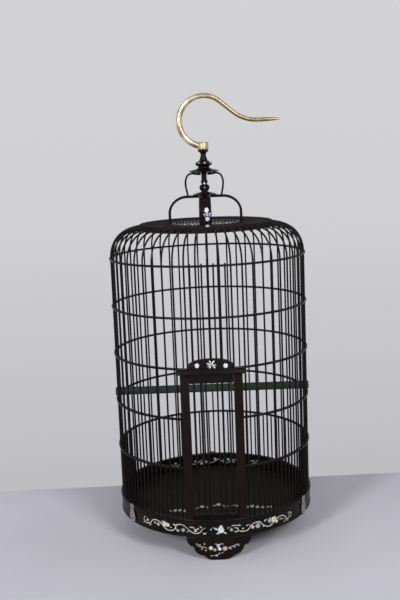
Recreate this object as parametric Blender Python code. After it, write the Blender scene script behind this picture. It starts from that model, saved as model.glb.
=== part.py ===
# Round wooden songbird cage on three bracket feet, with a sliding door of rods, a crown of bent
# arms and a brass hook that swivels. Metres, +Z up. The cage's axis is Z, the ground is z = 0 and
# the door faces -Y. Azimuths are counted from the door, positive towards +X.

from math import cos, pi, radians, sin, sqrt

import bmesh
import bpy
from mathutils import Vector

# Clearances
GAP = 0.0003  # between two pieces that touch
WELD = 0.000001  # points closer than this are one point
OVERRUN = 0.002  # how far a cutter runs past what it cuts, and a fused piece into its carrier

# Bars
BAR_COUNT = 56
BAR_R = 0.0016
BAR_CIRCLE_R = 0.1785
BAR_SIDES = 6
BARS_PER_SEGMENT = 7
SHOULDER_RISE = 0.055
SHOULDER_POWER = 2.2  # above 2, so the shoulder is a little squarer than an ellipse
SHOULDER_STEPS = 5
SOCKET_DEPTH = 0.004
LOW_BAR_HOOP_INDEX = 2  # a low bar stands in each bay between the long ones and ends in this hoop
RAIL_JOINT_SHARE = 0.25  # a joint of the rail is this share of a bay before a bar

# Base
FOOT_H = 0.042
FOOT_HALF_W = 0.0555
FOOT_T = 0.0095
FOOT_SET_BACK = 0.0004  # a foot's face lies this far inside the face of the band
BASE_TURN = radians(1.5)  # the feet and ornaments are set a little past the middle of the door
FOOT_AZIMUTHS = {"front": 0, "rear_right": radians(120), "rear_left": radians(-120)}
FOOT_LOBE_STEPS = 4
FOOT_LOBE_SHARES = ((1.0, 0.90), (0.775, 0.55), (0.42, 0.17), (0.15, 0.0))
ORNAMENT_AZIMUTHS = {"right": radians(60), "left": radians(-60), "rear": pi}
ORNAMENT_HALF_W = 0.010
ORNAMENT_T = 0.0012
# Outline of an ornament, bottom to top, as shares of its half width and of its height
ORNAMENT_SHARES = (
    (0.30, 0), (0.58, 0.06), (0.86, 0.15), (1.0, 0.28), (0.96, 0.42), (0.74, 0.56), (0.54, 0.67),
    (0.48, 0.77), (0.62, 0.83), (0.68, 0.90), (0.55, 0.97), (0.25, 1.0),
)
BAND_T = 0.0049
BAND_SET_BACK = 0.0015  # the band's face lies this far inside the edge of the bar rail
BAND_H = 0.0261
BEAD_OUT = 0.0008
BEAD_H = 0.0026
BEAD_CHAMFER = 0.0008
FLOOR_T = 0.0042
BATTEN_W = 0.014
BATTEN_T = 0.0068
BATTEN_Y = 0.070
BATTEN_END_INSET = 0.0015
RAIL_WALL_IN = 0.0024  # wood between a bar and the rail's inner edge
RAIL_WALL_OUT = 0.0028
RAIL_H = 0.0063
RAIL_CHAMFER = 0.0013

# Hoops
HOOP_T = 0.0018
HOOP_H = 0.0036
LOWEST_HOOP_RISE = 0.0923
HOOP_SPACING = 0.0887
HOOP_COUNT = 5
DOOR_HOOP_INDEX = 3  # this one runs over the door and carries the short bars; those below are open
SHORT_BARS_PER_SIDE = 2  # short bars on each side of the middle one
SHOE_WALL = 0.0005  # wood between a short bar and the inner edge of its hoop

# Door frame
POST_BAR_GAP = 0.0034  # between a post and the first whole bar beside it
POST_W = 0.0155
POST_SET_BACK = 0.0015  # a post's front lies this far inside the circle of the bars
POST_D = 0.014
POST_CHAMFER = 0.0015
GROOVE_DEPTH = 0.003
SILL_D = 0.009
LINTEL_H = 0.021
LINTEL_D = 0.011
CAP_OVERHANG = 0.0048  # past each post
CAP_H = 0.011
CAP_LEDGE_H = 0.0056
CAP_OUT = 0.010
CAP_MOULD = 0.0015
PEDIMENT_HALF_W = 0.0405
PEDIMENT_H = 0.017
PEDIMENT_T = 0.0038
PEDIMENT_POWER = 2.4
PEDIMENT_STEPS = 14

# Door
DOOR_SET_BACK = 0.0055  # from the posts' front to the middle of the door
DOOR_RAIL_H = 0.008
DOOR_RAIL_WALL = 0.0003  # wood between a rod and the rail's face
ROD_R = 0.0015
ROD_ABOVE_TOP_HOOP = 0.004
STILE_R = 0.0019
STILE_SET_IN = 0.0017  # from the first short bar beside the middle one, towards the middle
STILE_ABOVE_LINTEL = 0.009
ROD_SIDES = 6
ROD_SOCKET_DEPTH = 0.005

# Top plate
PLATE_R = 0.1233
PLATE_OPENING_R = 0.063
PLATE_FIELD_H = 0.0098
PLATE_RIM_H = 0.0109
PLATE_RIM_W = 0.005
PLATE_PANEL_T = 0.0036  # the plate is this thick round its opening
PLATE_WALL_W = 0.012  # its outer part, which the bars meet, is as deep as the rim
PLATE_CHAMFER = 0.0012
LATTICE_H = 0.0034
LATTICE_RING_W = 0.003
LATTICE_SPINE_W = 0.010
LATTICE_STEP = 0.0002  # the middle board lies this much below the ring, and the slats twice as much
SLAT_W = 0.0024
SLAT_PITCH = 0.0066
SLAT_LEAN = radians(6)

# Crown
LARGE_ARM_COUNT = 4
LARGE_ARM_RISE = 0.0481
LARGE_ARM_T = 0.0044
LARGE_ARM_TOP_W = 0.0198
LARGE_ARM_FOOT_W = 0.0230
LARGE_ARM_FOOT_SET = 0.0029  # from the plate's opening to the middle of an arm's foot
LARGE_ARM_CORNER_W = 0.033
LARGE_ARM_CORNER_H = 0.030
LARGE_ARM_STEPS = 7
HUB_SPARE = 0.0006  # keeps the arms' inner ends clear of each other
LOWER_CANOPY_R = 0.0222
LOWER_CANOPY_H = 0.0062
CANOPY_PETALS = 8
CANOPY_STEPS_PER_PETAL = 4
CANOPY_NOTCH_SHARE = 0.07
SPINDLE_R = 0.0095
SPINDLE_H = 0.0332
SMALL_ARM_COUNT = 4
SMALL_ARM_R = 0.0346
SMALL_ARM_T = 0.0034
SMALL_ARM_W = 0.0095
SMALL_ARM_NECK_SHARE = 0.5  # its inner end is this much narrower
SMALL_ARM_STEPS_PER_SPAN = 2
UPPER_CANOPY_R = 0.0278
UPPER_CANOPY_H = 0.0091
FINIAL_R = 0.0153
FINIAL_H = 0.0332
TURNED_SIDES = 16
SPINDLE_SIDES = 12

# Outlines of the turned pieces, bottom to top, as shares of their own radius and height
LOWER_CANOPY_SHARES = ((0, 0), (0.93, 0), (1.0, 0.12), (0.72, 0.52), (0.42, 0.82), (0.26, 1.0), (0, 1.0))
UPPER_CANOPY_SHARES = (
    (0, 0), (0.42, 0), (0.94, 0.30), (1.0, 0.42), (0.78, 0.62), (0.52, 0.82), (0.39, 1.0), (0, 1.0),
)
SPINDLE_SHARES = (
    (0, 0), (0.62, 0), (0.90, 0.10), (1.0, 0.21), (0.86, 0.33), (0.42, 0.40), (0.62, 0.46),
    (0.68, 0.53), (0.56, 0.64), (0.42, 0.80), (0.42, 0.90), (0.56, 1.0), (0, 1.0),
)
FINIAL_SHARES = (
    (0, 0), (0.71, 0), (0.71, 0.05), (0.66, 0.08), (0.90, 0.13), (1.0, 0.22), (0.90, 0.31),
    (0.62, 0.37), (0.49, 0.42), (0.42, 0.52), (0.33, 0.66), (0.33, 0.74), (0.44, 0.84), (0.61, 0.89),
    (0.63, 0.93), (0.63, 1.0), (0, 1.0),
)
# Middle line of a small arm: shares of its reach and of the spindle's height
SMALL_ARM_SHARES = (
    (0.17, 0.945), (0.42, 0.96), (0.66, 1.0), (0.87, 0.90), (0.975, 0.68), (1.0, 0.45), (0.975, 0.20),
    (0.90, -0.19),
)

# Hook
COLLAR_R = 0.0100
COLLAR_H = 0.0130
PIN_R = 0.003
PIN_HEAD_R = 0.0052
PIN_HEAD_H = 0.0032
PIN_DEPTH = 0.020
PIN_HEAD_SINK = 0.0006
HOOK_BEND_R = 0.0455
HOOK_BEND_X = 0.0033
HOOK_ROOT_RISE = 0.0055  # lowest point of the round bend above the collar's foot
HOOK_ROOT_ANGLE = radians(260)
HOOK_SHOULDER_ANGLE = radians(50)
HOOK_SLOPE_L = 0.0307
HOOK_SWEEP_R = 0.0697
HOOK_TIP_L = 0.0405
HOOK_TIP_RISE = radians(0.5)
HOOK_ROOT_R = 0.0056
HOOK_SLOPE_R = 0.0043
HOOK_SWEEP_ROD_R = 0.0039
HOOK_TIP_ROD_R = 0.0007
HOOK_BEND_STEPS = 15
HOOK_SWEEP_STEPS = 5
HOOK_TIP_STEPS = 4
HOOK_SIDES = 8

# Perch
PERCH_R = 0.007
PERCH_PAST_HOOP = 0.0018  # how far each end stands out past the hoops
PERCH_SIDES = 12
PERCH_HOOP_INDEX = 2

# Heights, radii and places that follow from the sizes above
BAY = 2 * pi / BAR_COUNT
RAIL_R_IN = BAR_CIRCLE_R - BAR_R - RAIL_WALL_IN
RAIL_R_OUT = BAR_CIRCLE_R + BAR_R + RAIL_WALL_OUT
BAND_R_OUT = RAIL_R_OUT - BAND_SET_BACK
BAND_R_IN = BAND_R_OUT - BAND_T
FOOT_R_OUT = BAND_R_OUT - FOOT_SET_BACK
FOOT_R_IN = FOOT_R_OUT - FOOT_T
BASE_Z = FOOT_H + GAP
BAND_TOP_Z = BASE_Z + BAND_H
RAIL_Z = BAND_TOP_Z + GAP
RAIL_TOP_Z = RAIL_Z + RAIL_H
HOOP_Z = {k: RAIL_TOP_Z + LOWEST_HOOP_RISE + (k - 1) * HOOP_SPACING for k in range(1, HOOP_COUNT + 1)}
TOP_HOOP_Z = HOOP_Z[HOOP_COUNT]
SHOULDER_TOP_Z = TOP_HOOP_Z + SHOULDER_RISE
PLATE_Z = SHOULDER_TOP_Z - PLATE_RIM_H / 2
FIELD_Z = PLATE_Z + PLATE_FIELD_H
LARGE_ARM_Z = FIELD_Z + LARGE_ARM_RISE
LOWER_CANOPY_Z = LARGE_ARM_Z + LARGE_ARM_T / 2 + GAP
SPINDLE_Z = LOWER_CANOPY_Z + LOWER_CANOPY_H + GAP
UPPER_CANOPY_Z = SPINDLE_Z + SPINDLE_H + GAP
FINIAL_Z = UPPER_CANOPY_Z + UPPER_CANOPY_H + GAP
COLLAR_Z = FINIAL_Z + FINIAL_H + GAP
HOOP_R_IN = BAR_CIRCLE_R + BAR_R + GAP
HOOP_R_OUT = HOOP_R_IN + HOOP_T
SHOE_R_IN = BAR_CIRCLE_R - BAR_R - SHOE_WALL
POST_X_OUT = BAR_CIRCLE_R * sin((SHORT_BARS_PER_SIDE + 1) * BAY) - BAR_R - POST_BAR_GAP
POST_X_IN = POST_X_OUT - POST_W
POST_Y_FRONT = BAR_CIRCLE_R - POST_SET_BACK
POST_TOP_Z = HOOP_Z[DOOR_HOOP_INDEX] - HOOP_H / 2 - GAP
LINTEL_Z = POST_TOP_Z - LINTEL_H
CAP_HALF_L = POST_X_OUT + CAP_OVERHANG
DOOR_Y = POST_Y_FRONT - DOOR_SET_BACK
DOOR_RAIL_T = 2 * (ROD_R + DOOR_RAIL_WALL)
BESIDE_MIDDLE = range(-SHORT_BARS_PER_SIDE, SHORT_BARS_PER_SIDE)
ROD_X = [BAR_CIRCLE_R * sin((k + 0.5) * BAY) for k in BESIDE_MIDDLE]  # midway between the short bars
STILE_X = BAR_CIRCLE_R * sin(BAY) - STILE_SET_IN
LARGE_ARM_FOOT_R = PLATE_OPENING_R + LARGE_ARM_FOOT_SET
HUB_R = LARGE_ARM_TOP_W / 2 + HUB_SPARE
PERCH_HALF_L = HOOP_R_OUT + PERCH_PAST_HOOP

# Materials: base colour, roughness, metallic
LACQUER = ("black_lacquered_hardwood", (0.014, 0.010, 0.009, 1), 0.28, 0)
BROWN_LACQUER = ("brown_black_lacquered_hardwood", (0.028, 0.017, 0.013, 1), 0.30, 0)
SHELL = ("mother_of_pearl", (0.66, 0.58, 0.56, 1), 0.25, 0)
BRASS = ("polished_brass", (0.62, 0.45, 0.19, 1), 0.24, 1)
GRIT = ("gritted_perch_wood", (0.045, 0.055, 0.050, 1), 0.85, 0)


def clear_scene():
    for obj in list(bpy.data.objects):
        bpy.data.objects.remove(obj, do_unlink=True)


def material(spec):
    name, colour, roughness, metallic = spec
    made = bpy.data.materials.get(name)
    if made is None:
        made = bpy.data.materials.new(name)
        made.use_nodes = True
        shader = made.node_tree.nodes["Principled BSDF"]
        shader.inputs["Base Color"].default_value = colour
        shader.inputs["Roughness"].default_value = roughness
        shader.inputs["Metallic"].default_value = metallic
    return made


def finish(bm, name, spec, parent=None, smooth=False):
    """Turns the bmesh into a named object with its faces pointing out."""
    bmesh.ops.remove_doubles(bm, verts=bm.verts, dist=WELD)
    bmesh.ops.recalc_face_normals(bm, faces=bm.faces)
    mesh = bpy.data.meshes.new(name)
    bm.to_mesh(mesh)
    bm.free()
    mesh.materials.append(material(spec))
    obj = bpy.data.objects.new(name, mesh)
    bpy.context.collection.objects.link(obj)
    if smooth:
        mesh.shade_smooth()
        mesh.set_sharp_from_angle(angle=radians(40))
    if parent:
        # The mesh is in world places, so the parent's own place is taken back out of it.
        obj.parent = parent
        obj.matrix_parent_inverse = parent.matrix_world.inverted()
    return obj


def combine(target, tool, operation):
    """Joins the tool to the target, or cuts it out, and removes the tool."""
    modifier = target.modifiers.new(operation.lower(), "BOOLEAN")
    modifier.operation = operation
    modifier.solver = "EXACT"
    modifier.object = tool
    bpy.context.view_layer.update()
    depsgraph = bpy.context.evaluated_depsgraph_get()
    mesh = bpy.data.meshes.new_from_object(target.evaluated_get(depsgraph))
    target.modifiers.clear()
    mesh.name = target.name
    target.data = mesh
    bpy.data.objects.remove(tool, do_unlink=True)


def empty(name, place):
    obj = bpy.data.objects.new(name, None)
    obj.location = place
    bpy.context.collection.objects.link(obj)
    bpy.context.view_layer.update()
    return obj


def at(r, azimuth, z):
    return Vector((r * sin(azimuth), -r * cos(azimuth), z))


def loft(bm, rings, closed=False):
    """Skins a row of rings with quads. An open row gets end faces, a closed one meets itself."""
    loops = [[bm.verts.new(point) for point in ring] for ring in rings]
    for i in range(len(loops) if closed else len(loops) - 1):
        one, two = loops[i], loops[(i + 1) % len(loops)]
        for j in range(len(one)):
            k = (j + 1) % len(one)
            bm.faces.new((one[j], one[k], two[k], two[j]))
    if not closed:
        bm.faces.new(loops[0])
        bm.faces.new(loops[-1])


def box(bm, low, high):
    (x0, y0, z0), (x1, y1, z1) = low, high
    foot = ((x0, y0), (x1, y0), (x1, y1), (x0, y1))
    loft(bm, [[(x, y, z) for x, y in foot] for z in (z0, z1)])


def cylinder(bm, centre, r, z0, z1, sides):
    x, y = centre
    angles = [2 * pi * (i + 0.5) / sides for i in range(sides)]
    loft(bm, [[(x + r * cos(a), y + r * sin(a), z) for a in angles] for z in (z0, z1)])


def facet_ring(profile, azimuth):
    """The profile at this azimuth, on a ring whose flat faces are centred on the bars."""
    off_bar = azimuth - round(azimuth / BAY) * BAY
    return [at(r / cos(off_bar), azimuth, z) for r, z in profile]


def facet_ring_at_x(profile, side, x):
    """The profile where the facet of the first whole bar beside the door meets the plane x."""
    azimuth = side * (SHORT_BARS_PER_SIDE + 1) * BAY
    ring = []
    for r, z in profile:
        along = (side * x - r * sin(azimuth)) / cos(azimuth)
        ring.append((side * x, -r * cos(azimuth) + along * sin(azimuth), z))
    return ring


def facet_hoop(bm, profile):
    loft(bm, [facet_ring(profile, (k + 0.5) * BAY) for k in range(BAR_COUNT)], closed=True)


def turned(bm, profile, sides):
    """Spins a profile that starts and ends on the axis."""
    verts = [bm.verts.new((r, 0, z)) for r, z in profile]
    edges = [bm.edges.new(pair) for pair in zip(verts, verts[1:])]
    bmesh.ops.spin(bm, geom=verts + edges, cent=(0, 0, 0), axis=(0, 0, 1), angle=2 * pi, steps=sides)
    bmesh.ops.remove_doubles(bm, verts=bm.verts, dist=WELD)


def scaled(shares, r, height, z):
    return [(share_r * r, z + share_z * height) for share_r, share_z in shares]


def path_normals(path):
    """Unit normals of a flat path, to the right of its run, from the neighbours of each point."""
    normals = []
    for i in range(len(path)):
        before, after = path[max(i - 1, 0)], path[min(i + 1, len(path) - 1)]
        run = Vector(after) - Vector(before)
        normals.append(Vector((run.y, -run.x)).normalized())
    return normals


def through(points, steps):
    """A smooth curve through the points, with a number of steps to each span."""
    knots = [Vector(p) for p in points]
    knots = [2 * knots[0] - knots[1]] + knots + [2 * knots[-1] - knots[-2]]
    curve = []
    for a, b, c, d in zip(knots, knots[1:], knots[2:], knots[3:]):
        for step in range(steps):
            t = step / steps
            curve.append(
                0.5 * (2 * b + (c - a) * t + (2 * a - 5 * b + 4 * c - d) * t * t
                       + (3 * b - a - 3 * c + d) * t ** 3)
            )
    return curve + [knots[-2]]


def bar_path(foot_z):
    """Middle line of a bar as (radius, height): upright, then over the shoulder to the plate."""
    end_r = PLATE_R + GAP
    path = [(BAR_CIRCLE_R, foot_z)]
    for step in range(SHOULDER_STEPS + 1):
        turn = pi / 2 * step / SHOULDER_STEPS
        inward = max(cos(turn), 0) ** (2 / SHOULDER_POWER)
        upward = sin(turn) ** (2 / SHOULDER_POWER)
        path.append((end_r + (BAR_CIRCLE_R - end_r) * inward, TOP_HOOP_Z + SHOULDER_RISE * upward))
    return path


def add_bar(bm, azimuth, foot_z):
    path = bar_path(foot_z)
    normals = path_normals(path)
    normals[0] = Vector((1, 0))
    normals[-1] = Vector((0, 1))
    across = Vector((cos(azimuth), sin(azimuth), 0))
    rings = []
    for (r, z), normal in zip(path, normals):
        ring = []
        for side in range(BAR_SIDES):
            angle = 2 * pi * side / BAR_SIDES
            centre = at(r + BAR_R * cos(angle) * normal.x, azimuth, z + BAR_R * cos(angle) * normal.y)
            ring.append(centre + BAR_R * sin(angle) * across)
        rings.append(ring)
    loft(bm, rings)


def strap(bm, path, normals, half_widths, thickness, azimuth):
    """A flat bent strip along a path of (radius, height), across the given azimuth."""
    across = Vector((cos(azimuth), sin(azimuth), 0))
    rings = []
    for (r, z), normal, half_w in zip(path, normals, half_widths):
        inner = at(r - normal.x * thickness / 2, azimuth, z - normal.y * thickness / 2)
        outer = at(r + normal.x * thickness / 2, azimuth, z + normal.y * thickness / 2)
        rings.append([inner - across * half_w, outer - across * half_w,
                      outer + across * half_w, inner + across * half_w])
    loft(bm, rings)


def make_base():
    bottom, top = BASE_Z, BAND_TOP_Z
    bead_r = BAND_R_OUT + BEAD_OUT
    profile = [
        (BAND_R_IN, bottom), (bead_r, bottom), (bead_r, bottom + BEAD_H - BEAD_CHAMFER),
        (BAND_R_OUT, bottom + BEAD_H), (BAND_R_OUT, top - BEAD_H),
        (bead_r, top - BEAD_H + BEAD_CHAMFER), (bead_r, top), (BAND_R_IN, top),
    ]
    bm = bmesh.new()
    facet_hoop(bm, profile)
    finish(bm, "base_band", LACQUER, smooth=True)

    bm = bmesh.new()
    floor_r = BAND_R_IN - GAP
    edge = [(k + 0.5) * BAY for k in range(BAR_COUNT)]
    loft(bm, [[at(floor_r / cos(BAY / 2), a, z) for a in edge] for z in (BASE_Z, BASE_Z + FLOOR_T)])
    finish(bm, "floor_board", LACQUER)

    for side, name in ((-1, "front"), (1, "rear")):
        bm = bmesh.new()
        outer_y = BATTEN_Y + BATTEN_W / 2
        half_l = sqrt((FOOT_R_IN - BATTEN_END_INSET) ** 2 - outer_y ** 2)
        y0, y1 = sorted((side * (BATTEN_Y - BATTEN_W / 2), side * outer_y))
        box(bm, (-half_l, y0, FOOT_H - BATTEN_T), (half_l, y1, FOOT_H))
        finish(bm, f"floor_batten_{name}", BROWN_LACQUER)


def foot_outline():
    """Half of a foot's lower edge as shares of its width and height: three stepped lobes."""
    points = []
    for (u0, v0), (u1, v1) in zip(FOOT_LOBE_SHARES, FOOT_LOBE_SHARES[1:]):
        for step in range(FOOT_LOBE_STEPS + 1):
            turn = pi / 2 * step / FOOT_LOBE_STEPS
            point = (u1 + (u0 - u1) * cos(turn), v0 - (v0 - v1) * sin(turn))
            if not points or points[-1][0] - point[0] > WELD:
                points.append(point)
    return points


def make_feet():
    half = foot_outline()
    outline = [(-u, v) for u, v in half] + half[::-1]
    for name, azimuth in FOOT_AZIMUTHS.items():
        rings = []
        for u, v in outline:
            turn = azimuth + BASE_TURN + u * FOOT_HALF_W / FOOT_R_OUT
            rings.append([at(FOOT_R_IN, turn, v * FOOT_H), at(FOOT_R_OUT, turn, v * FOOT_H),
                          at(FOOT_R_OUT, turn, FOOT_H), at(FOOT_R_IN, turn, FOOT_H)])
        bm = bmesh.new()
        loft(bm, rings)
        finish(bm, f"foot_{name}", BROWN_LACQUER)


def make_ornaments():
    """Thin vase-shaped plates of shell over the joint between the band and the bar rail."""
    r_in = max(RAIL_R_OUT, BAND_R_OUT + BEAD_OUT) / cos(BAY / 2) + GAP
    height = RAIL_TOP_Z - BASE_Z
    for name, azimuth in ORNAMENT_AZIMUTHS.items():
        rings = []
        for share_w, share_z in ORNAMENT_SHARES:
            z = BASE_Z + share_z * height
            turn = share_w * ORNAMENT_HALF_W / r_in
            turns = [azimuth + BASE_TURN + side * turn for side in (-1, 0, 1)]
            ring = [at(r_in, a, z) for a in turns]
            ring += [at(r_in + ORNAMENT_T, a, z) for a in turns[::-1]]
            rings.append(ring)
        bm = bmesh.new()
        loft(bm, rings)
        finish(bm, f"ornament_{name}", SHELL)


def make_bar_segments():
    """Eight segments of the bar rail, each with the bars that stand in it."""
    names = ("front", "front_right", "right", "rear_right", "rear", "rear_left", "left", "front_left")
    top = RAIL_TOP_Z
    profile = [
        (RAIL_R_IN, RAIL_Z), (RAIL_R_OUT, RAIL_Z), (RAIL_R_OUT, top - RAIL_CHAMFER),
        (RAIL_R_OUT - RAIL_CHAMFER, top), (RAIL_R_IN, top),
    ]
    reach = BARS_PER_SEGMENT // 2
    joint = GAP / 2 / RAIL_R_IN
    for segment, name in enumerate(names):
        middle = segment * BARS_PER_SEGMENT
        low_bars = [middle + k - reach + 0.5 for k in range(BARS_PER_SEGMENT)]
        ends = [middle - reach - RAIL_JOINT_SHARE, middle + reach + 1 - RAIL_JOINT_SHARE]
        azimuths = [ends[0] * BAY + joint] + [place * BAY for place in low_bars] + [ends[1] * BAY - joint]
        bm = bmesh.new()
        loft(bm, [facet_ring(profile, a) for a in azimuths])
        rail = finish(bm, f"bars_{name}", LACQUER)

        bars = bmesh.new()
        for k in range(-reach, reach + 1):
            over_the_door = segment == 0 and abs(k) <= SHORT_BARS_PER_SIDE
            if not over_the_door:
                add_bar(bars, (middle + k) * BAY, top - SOCKET_DEPTH)
        low_bar_top = HOOP_Z[LOW_BAR_HOOP_INDEX] + HOOP_H / 2
        for place in low_bars:
            if abs(place) > SHORT_BARS_PER_SIDE + 1:
                x, y, z = at(BAR_CIRCLE_R, place * BAY, top - SOCKET_DEPTH)
                cylinder(bars, (x, y), BAR_R, z, low_bar_top, BAR_SIDES)
        combine(rail, finish(bars, "bars_tool", LACQUER), "UNION")

        if segment == 0:
            sill = bmesh.new()
            sill_x = POST_X_IN - GAP
            box(sill, (-sill_x, -RAIL_R_IN - OVERRUN, RAIL_Z + RAIL_CHAMFER),
                (sill_x, -RAIL_R_IN + SILL_D, top))
            combine(rail, finish(sill, "sill_tool", LACQUER), "UNION")


def make_hoops():
    for k, z in HOOP_Z.items():
        low, high = z - HOOP_H / 2, z + HOOP_H / 2
        profile = [(HOOP_R_IN, low), (HOOP_R_OUT, low), (HOOP_R_OUT, high), (HOOP_R_IN, high)]
        bm = bmesh.new()
        if k < DOOR_HOOP_INDEX:
            first, last = SHORT_BARS_PER_SIDE + 1.5, BAR_COUNT - SHORT_BARS_PER_SIDE - 1.5
            count = int(last - first) + 1
            rings = [facet_ring_at_x(profile, 1, POST_X_OUT + GAP)]
            rings += [facet_ring(profile, (first + i) * BAY) for i in range(count)]
            rings.append(facet_ring_at_x(profile, -1, POST_X_OUT + GAP))
            loft(bm, rings)
        else:
            facet_hoop(bm, profile)
        hoop = finish(bm, f"hoop_{k}", LACQUER)
        if k == DOOR_HOOP_INDEX:
            add_short_bars(hoop, low, high)


def add_short_bars(hoop, low, high):
    """The hoop over the door is as wide as the bars there, because it carries their feet."""
    shoe = bmesh.new()
    shoe_r_out = HOOP_R_IN + HOOP_T / 2
    profile = [(SHOE_R_IN, low), (shoe_r_out, low), (shoe_r_out, high), (SHOE_R_IN, high)]
    reach = SHORT_BARS_PER_SIDE + 0.5
    loft(shoe, [facet_ring(profile, (k - reach) * BAY) for k in range(2 * SHORT_BARS_PER_SIDE + 2)])
    combine(hoop, finish(shoe, "shoe_tool", LACQUER), "UNION")
    bars = bmesh.new()
    for k in range(-SHORT_BARS_PER_SIDE, SHORT_BARS_PER_SIDE + 1):
        add_bar(bars, k * BAY, high - HOOP_H / 2)
    combine(hoop, finish(bars, "bars_tool", LACQUER), "UNION")


def door_holes(extra_r, z0, z1):
    """A cutter for the rods and stiles of the door."""
    bm = bmesh.new()
    for x in ROD_X:
        cylinder(bm, (x, -DOOR_Y), ROD_R + extra_r, z0, z1, ROD_SIDES)
    for x in (-STILE_X, STILE_X):
        cylinder(bm, (x, -DOOR_Y), STILE_R + extra_r, z0, z1, ROD_SIDES)
    return finish(bm, "holes_tool", LACQUER)


def make_door_frame():
    groove_half = DOOR_RAIL_T / 2 + GAP
    back = -POST_Y_FRONT + POST_D
    for side, name in ((-1, "left"), (1, "right")):
        inner, outer = side * POST_X_IN, side * POST_X_OUT
        groove = inner + side * GROOVE_DEPTH
        front = -POST_Y_FRONT
        corner = side * POST_CHAMFER
        outline = [
            (inner + corner, front), (outer - corner, front), (outer, front + POST_CHAMFER), (outer, back),
            (inner, back), (inner, -DOOR_Y + groove_half), (groove, -DOOR_Y + groove_half),
            (groove, -DOOR_Y - groove_half), (inner, -DOOR_Y - groove_half), (inner, front + POST_CHAMFER),
        ]
        bm = bmesh.new()
        loft(bm, [[(x, y, z) for x, y in outline] for z in (RAIL_TOP_Z + GAP, POST_TOP_Z)])
        finish(bm, f"door_post_{name}", BROWN_LACQUER)

    bm = bmesh.new()
    half_l = POST_X_IN - GAP
    box(bm, (-half_l, -POST_Y_FRONT, LINTEL_Z), (half_l, -POST_Y_FRONT + LINTEL_D, POST_TOP_Z))
    lintel = finish(bm, "door_lintel", LACQUER)
    combine(lintel, door_holes(GAP, LINTEL_Z - OVERRUN, POST_TOP_Z + OVERRUN), "DIFFERENCE")

    cap_top = POST_TOP_Z - CAP_LEDGE_H + CAP_H
    low, back, front = POST_TOP_Z - CAP_LEDGE_H, -POST_Y_FRONT - GAP, -POST_Y_FRONT - CAP_OUT
    lip_back = -HOOP_R_OUT - GAP
    section = [
        (back, low), (front + CAP_MOULD, low), (front, low + CAP_MOULD),
        (front, POST_TOP_Z - CAP_MOULD), (front + CAP_MOULD, POST_TOP_Z),
        (front + CAP_MOULD, cap_top - CAP_MOULD), (front, cap_top), (lip_back, cap_top),
        (lip_back, POST_TOP_Z), (back, POST_TOP_Z),
    ]
    bm = bmesh.new()
    loft(bm, [[(x, y, z) for y, z in section] for x in (-CAP_HALF_L, CAP_HALF_L)])
    finish(bm, "header_cap", LACQUER)

    foot_z = cap_top + GAP
    arch = []
    for step in range(PEDIMENT_STEPS + 1):
        turn = pi * step / PEDIMENT_STEPS
        x = abs(cos(turn)) ** (2 / PEDIMENT_POWER) * (1 if cos(turn) > 0 else -1)
        arch.append((x * PEDIMENT_HALF_W, foot_z + PEDIMENT_H * max(sin(turn), 0) ** (2 / PEDIMENT_POWER)))
    bm = bmesh.new()
    face_y = lip_back - GAP
    loft(bm, [[(x, y, z) for x, z in arch] for y in (face_y - PEDIMENT_T, face_y)])
    finish(bm, "header_pediment", BROWN_LACQUER)


def make_door():
    """The sliding door: a bottom rail in the posts' grooves, four long rods and two thicker stiles."""
    foot_z = RAIL_TOP_Z + GAP
    rail_top = foot_z + DOOR_RAIL_H
    socket_z = rail_top - ROD_SOCKET_DEPTH
    slide = empty("door_slide_origin", (0, -DOOR_Y, foot_z))
    half_l = POST_X_IN + GROOVE_DEPTH - GAP
    half_t = DOOR_RAIL_T / 2
    bm = bmesh.new()
    box(bm, (-half_l, -DOOR_Y - half_t, foot_z), (half_l, -DOOR_Y + half_t, rail_top))
    rail = finish(bm, "door_rail", LACQUER, parent=slide)
    combine(rail, door_sockets(socket_z, rail_top + OVERRUN), "DIFFERENCE")
    for number, x in enumerate(ROD_X, 1):
        bm = bmesh.new()
        cylinder(bm, (x, -DOOR_Y), ROD_R, socket_z + GAP, TOP_HOOP_Z + ROD_ABOVE_TOP_HOOP, ROD_SIDES)
        finish(bm, f"door_rod_{number}", LACQUER, parent=slide, smooth=True)
    for side, name in ((-1, "left"), (1, "right")):
        bm = bmesh.new()
        top = POST_TOP_Z + STILE_ABOVE_LINTEL
        cylinder(bm, (side * STILE_X, -DOOR_Y), STILE_R, rail_top + GAP, top, ROD_SIDES)
        finish(bm, f"door_stile_{name}", LACQUER, parent=slide, smooth=True)


def door_sockets(z0, z1):
    bm = bmesh.new()
    for x in ROD_X:
        cylinder(bm, (x, -DOOR_Y), ROD_R + GAP / 2, z0, z1, ROD_SIDES)
    return finish(bm, "sockets_tool", LACQUER)


def make_top_plate():
    low, field, rim = PLATE_Z, FIELD_Z, PLATE_Z + PLATE_RIM_H
    panel = field - PLATE_PANEL_T
    profile = [
        (PLATE_OPENING_R, panel), (PLATE_R - PLATE_WALL_W, panel), (PLATE_R - PLATE_WALL_W, low),
        (PLATE_R, low), (PLATE_R, rim - PLATE_CHAMFER), (PLATE_R - PLATE_CHAMFER, rim),
        (PLATE_R - PLATE_RIM_W, rim), (PLATE_R - PLATE_RIM_W - PLATE_CHAMFER, field),
        (PLATE_OPENING_R, field),
    ]
    bm = bmesh.new()
    facet_hoop(bm, profile)
    finish(bm, "top_plate", BROWN_LACQUER, smooth=True)


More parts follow.
